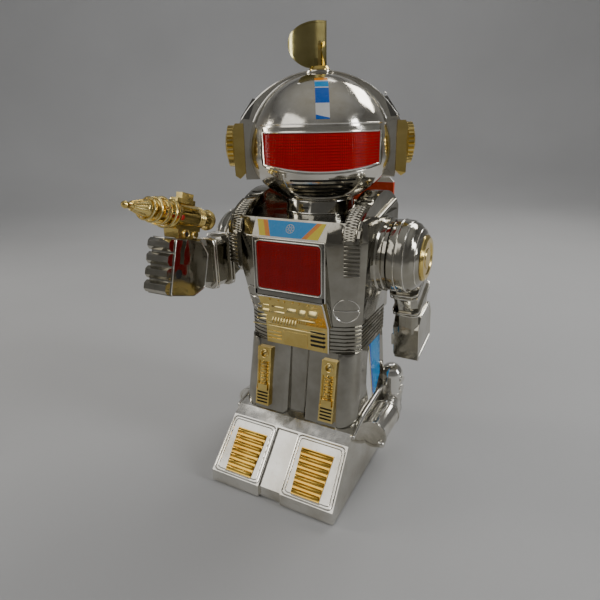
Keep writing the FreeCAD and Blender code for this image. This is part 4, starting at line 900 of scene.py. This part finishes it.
# round flower-like emblem on the chest label
emblem = Detail()
lean = math.atan2(5.1, 10.5)
up = Vector((0, math.sin(lean), math.cos(lean)))
out = Vector((0, -math.cos(lean), math.sin(lean)))
middle = Vector((0.5, -20.32, 157.0)) + up * 6.1 + out * 0.16
emblem.bead(arc(middle, 2.5, 0, 345, 23, (1, 0, 0), up), 0.2, closed=True, flat=0.5)
emblem.bead(arc(middle, 0.9, 0, 330, 11, (1, 0, 0), up), 0.2, closed=True, flat=0.5)
for k in range(8):
    angle = math.radians(45 * k + 22.5)
    ray = Vector((1, 0, 0)) * math.cos(angle) + up * math.sin(angle)
    emblem.bead([middle + ray * 1.2, middle + ray * 2.3], 0.18)
emblem.place("label_flower", "body", "printed_label", WHITE_HUB)


# ---- arms and gun --------------------------------------------------------
def swung(side, degrees):
    """Frame of an arm: drawn hanging on the left, swung about the shoulder axis, mirrored for the right."""
    pivot = Vector((0, SHOULDER_Y, SHOULDER_Z))
    turn = (Matrix.Translation(pivot) @ Matrix.Rotation(math.radians(-degrees), 4, "X")
            @ Matrix.Translation(-pivot))
    return turn @ MIRROR if side < 0 else turn


def in_fist(u, v, x=0.0):
    """Point in the fist: u along the fingers, v toward the grip side, x across."""
    y = SHOULDER_Y + FIST_BACK - u * math.sin(FIST_TILT) - v * math.cos(FIST_TILT)
    z = SHOULDER_Z - FIST_DOWN - u * math.cos(FIST_TILT) + v * math.sin(FIST_TILT)
    return Vector((FIST_X + x, y, z))


# arms: rings round the shoulder, bands round the upper arm and edge lines of the fist in the lighter silver
# that paints on a highlight, and a black disc as painted shade in the palm hole
for side, name, degrees in ((-1, "right", RIGHT_SWING), (1, "left", LEFT_SWING)):
    arm_frame = swung(side, degrees)
    lines = Detail()
    for x, radius, width in ((56.0, 21.25, 0.3), (61.0, 20.55, 0.34), (66.6, 16.6, 0.3)):
        shoulder_ring = arc((x, SHOULDER_Y, SHOULDER_Z), radius, 0, 355, 71, (0, 1, 0), (0, 0, 1))
        lines.bead(shoulder_ring, width, closed=True)
    for level, half, front, rear in ((-24.2, 8.6, 9.4, 23.6), (-27.2, 8.6, 9.4, 23.6),
                                     (-40.3, 8.4, 9.2, 22.4), (-42.4, 8.4, 9.2, 22.0)):
        z = SHOULDER_Z + level
        corners = [(FIST_X - half, SHOULDER_Y - front, z), (FIST_X + half, SHOULDER_Y - front, z),
                   (FIST_X + half, SHOULDER_Y + rear, z), (FIST_X - half, SHOULDER_Y + rear, z)]
        lines.bead(rounded(corners, 3.4, 2), 0.42, closed=True)
    palm = [(-16.0, -11.0), (-16.0, 9.0), (-9.0, 15.4), (12.3, 15.4), (12.3, -15.4), (-7.0, -15.8)]
    for x in (-8.2, 8.2):
        lines.bead(rounded([in_fist(u, v, x) for u, v in palm], 1.5, 3), 0.36, closed=True)
    hole = Detail()
    hole.turn([(0.0, 2.55), (0.5, 2.55)], in_fist(7.5, -3.5, -7.4), (1, 0, 0), 28)
    hole.place("palm_hole_" + name, "arm_" + name, "dark_plastic", RECESS_SHADE_BLACK, arm_frame)
    lines.place("arm_lines_" + name, "arm_" + name, "silver_shell", HIGHLIGHT_SILVER, arm_frame)

# gun: coil that narrows forward, ribs on the nose and body, rear rings and grip bosses in the lighter gold
# that paints on a highlight, a black disc in the grip boss as painted shade, and red lamps;
# its own frame has X along the fingers, Y towards the grip and Z across
finger = (in_fist(1.0, 0.0) - in_fist(0.0, 0.0)).normalized()
grip = (in_fist(0.0, 1.0) - in_fist(0.0, 0.0)).normalized()
across = finger.cross(grip)
gun_space = Matrix((finger, grip, across)).transposed().to_4x4()
gun_space.translation = in_fist(0.0, 29.0)
gun_frame = swung(-1, RIGHT_SWING) @ gun_space


def gun_ring(along, radius):
    """Ring round the gun's barrel."""
    return arc((along, 0, 0), radius, 0, 355, 40, (0, 1, 0), (0, 0, 1))


coil = Detail()
turns, steps = 3.6, 150
helix = []
for k in range(steps + 1):
    share = k / steps
    angle = 2 * math.pi * turns * share + 0.6
    radius = 5.5 + 2.9 * (1 - share) ** 1.1
    helix.append(Vector((13.0 + 16.5 * share, radius * math.cos(angle), radius * math.sin(angle))))
coil.bead(helix, 0.62)
for k in range(14):
    angle = 2 * math.pi * k / 14
    coil.bead([(29.4, 4.3 * math.cos(angle), 4.3 * math.sin(angle)),
               (37.6, 2.1 * math.cos(angle), 2.1 * math.sin(angle))], 0.42, sides=6)
for along in (-9.4, -10.8, -12.2, -13.6):
    coil.bead(gun_ring(along, 6.25 if along > -13 else 5.9), 0.4, closed=True)
for k in range(8):
    angle = 2 * math.pi * k / 8
    for lean in (-0.32, 0.32):
        coil.bead([(-14.8, 5.25 * math.cos(angle), 5.25 * math.sin(angle)),
                   (-19.6, 5.3 * math.cos(angle + lean), 5.3 * math.sin(angle + lean))], 0.28, sides=6)
coil.bead(gun_ring(-22.9, 5.2), 0.5, closed=True)
for angle in (0.9, 1.5, 2.2, 3.6, 4.3, 5.2):
    c, s = math.cos(angle), math.sin(angle)
    coil.bead([(-7.0, 7.1 * c, 7.1 * s), (7.5, 7.25 * c, 7.25 * s)], 0.35, sides=6)
coil.place("gun_coil_and_ribs", "gun", "gold_trim", HIGHLIGHT_GOLD, gun_frame)

grips = Detail()
for along, radius in ((1.6, 2.3), (-6.2, 2.0)):
    grips.bead(arc((along, -10.2, 5.35), radius, 0, 345, 23, (1, 0, 0), (0, 1, 0)), 0.42, closed=True)
grips.bead([(-8.6, -8.5, 5.2), (8.2, -8.5, 5.2)], 0.35)
grips.place("gun_grip_bosses", "gun", "gold_trim", HIGHLIGHT_GOLD, gun_frame)
dots = Detail()
dots.turn([(0.0, 1.25), (0.35, 1.25)], (1.6, -10.2, 5.75), (0, 0, 1), 20)
dots.place("gun_grip_dot", "gun", "dark_plastic", RECESS_SHADE_BLACK, gun_frame)

lamps = Detail()
for along, radius, angle in ((7.6, 1.5, -1.35), (12.4, 1.0, -1.3), (7.6, 1.5, 1.35), (12.4, 1.0, 1.3)):
    way = Vector((0, math.cos(angle + math.pi), math.sin(angle + math.pi)))
    lamps.turn([(6.6, radius), (7.5, radius), (7.9, radius * 0.6)], (along, 0, 0), way, 18)
lamps.place("gun_lamps", "gun", "red_lens", RED_DOT, gun_frame)

# ---- camera --------------------------------------------------------------
AZ, EL, ROLL = math.radians(28.21), math.radians(20.37), math.radians(-1.25)
CAMERA_PLACE = (0.1288, -0.2470, 0.2176)
CAMERA_LENS = 28.51
back = Vector((math.sin(AZ) * math.cos(EL), -math.cos(AZ) * math.cos(EL), math.sin(EL)))
right = Vector((math.cos(AZ), math.sin(AZ), 0.0))
up = back.cross(right)
turned_right = right * math.cos(ROLL) + up * math.sin(ROLL)
turned_up = up * math.cos(ROLL) - right * math.sin(ROLL)
camera = bpy.data.objects.new("camera", bpy.data.cameras.new("camera"))
bpy.context.scene.collection.objects.link(camera)
camera.data.lens = CAMERA_LENS
camera.data.sensor_width = 36.0
camera.data.clip_start = 0.01
rotation = Matrix((turned_right, turned_up, back)).transposed().to_4x4()
camera.matrix_world = Matrix.Translation(CAMERA_PLACE) @ rotation
bpy.context.scene.camera = camera

# ---- floor and light -----------------------------------------------------
FLOOR_Z = cad_box[0][2]   # the wheels stand a little below the base
FLAT_R, BEND_R, WALL_TOP = 1.2, 0.6, 1.5


def studio_sweep():
    """Pale floor that curves up into a backdrop behind the object."""
    profile = [(r, FLOOR_Z) for r in (0.0, 0.3, 0.6, 0.9, FLAT_R)]
    for degrees in range(9, 91, 9):
        angle = math.radians(degrees)
        profile.append((FLAT_R + BEND_R * math.sin(angle), FLOOR_Z + BEND_R * (1 - math.cos(angle))))
    profile.append((FLAT_R + BEND_R, WALL_TOP))
    sweep = bpy.data.meshes.new("studio_sweep")
    steps = 96
    verts, faces = [], []
    for radius, height in profile:
        for k in range(steps):
            angle = 2 * math.pi * k / steps
            verts.append((radius * math.cos(angle), radius * math.sin(angle), height))
    for i in range(len(profile) - 1):
        for k in range(steps):
            m = (k + 1) % steps
            faces.append((i * steps + k, i * steps + m, (i + 1) * steps + m, (i + 1) * steps + k))
    sweep.from_pydata(verts, [], faces)
    for polygon in sweep.polygons:
        polygon.use_smooth = True
    return sweep


def floor_paper():
    """Matt pale paper with a faint cloudiness."""
    t = Tree("floor_paper")
    t.base(t.mix(t.level(t.noise(3.0, 3.0, 0.5), 0.3, 0.7), rgb(0.50, 0.50, 0.50), rgb(0.54, 0.54, 0.54)))
    t.rough(t.level(t.noise(600.0, 2.0, 0.5), 0.3, 0.7, 0.6, 0.8))
    return t.mat


floor = bpy.data.objects.new("floor", studio_sweep())
floor.data.materials.append(floor_paper())
bpy.context.scene.collection.objects.link(floor)


def softbox(name, place, target, size, power, tint=(1.0, 1.0, 1.0)):
    """Rectangular area light turned towards a point, all in metres and watts."""
    light = bpy.data.lights.new(name, "AREA")
    light.shape = "RECTANGLE"
    light.size, light.size_y = size
    light.energy = power
    light.color = tint
    lamp = bpy.data.objects.new(name, light)
    bpy.context.scene.collection.objects.link(lamp)
    lamp.location = place
    lamp.rotation_mode = "QUATERNION"
    lamp.rotation_quaternion = (Vector(place) - Vector(target)).to_track_quat("Z", "Y")


softbox("top_box", (0.25, 0.75, 0.80), (0, 0, 0.1), (0.5, 0.3), 3.4, (1.0, 0.98, 0.94))
softbox("panel_box", (-0.36, -0.70, 0.68), (0, 0, 0.05), (0.6, 0.6), 1.5, (1.0, 0.98, 0.95))
softbox("left_box", (-0.95, -0.25, 0.40), (0, 0, 0.14), (0.16, 0.6), 2.2, (1.0, 0.96, 0.9))
softbox("right_box", (0.85, 0.05, 0.50), (0, 0, 0.14), (0.16, 0.6), 2.6, (0.95, 0.97, 1.0))
softbox("back_wash", (-0.4, 0.75, 1.3), (-0.7, 1.5, 0.3), (0.6, 0.4), 3.4)



def studio_world():
    """Dim surroundings that get lighter overhead."""
    world = bpy.data.worlds.new("studio")
    world.use_nodes = True
    tree = world.node_tree
    coords = tree.nodes.new("ShaderNodeTexCoord")
    split = tree.nodes.new("ShaderNodeSeparateXYZ")
    tree.links.new(coords.outputs["Generated"], split.inputs[0])
    ramp = tree.nodes.new("ShaderNodeValToRGB")
    low, high = ramp.color_ramp.elements
    low.position, low.color = 0.0, rgb(0.05, 0.05, 0.052)
    high.position, high.color = 1.0, rgb(0.35, 0.35, 0.345)
    ramp.color_ramp.elements.new(0.55).color = rgb(0.07, 0.07, 0.073)
    tree.links.new(split.outputs["Z"], ramp.inputs["Fac"])
    tree.links.new(ramp.outputs["Color"], tree.nodes["Background"].inputs["Color"])
    tree.nodes["Background"].inputs["Strength"].default_value = 1.0
    return world


bpy.context.scene.world = studio_world()

bpy.context.view_layer.update()
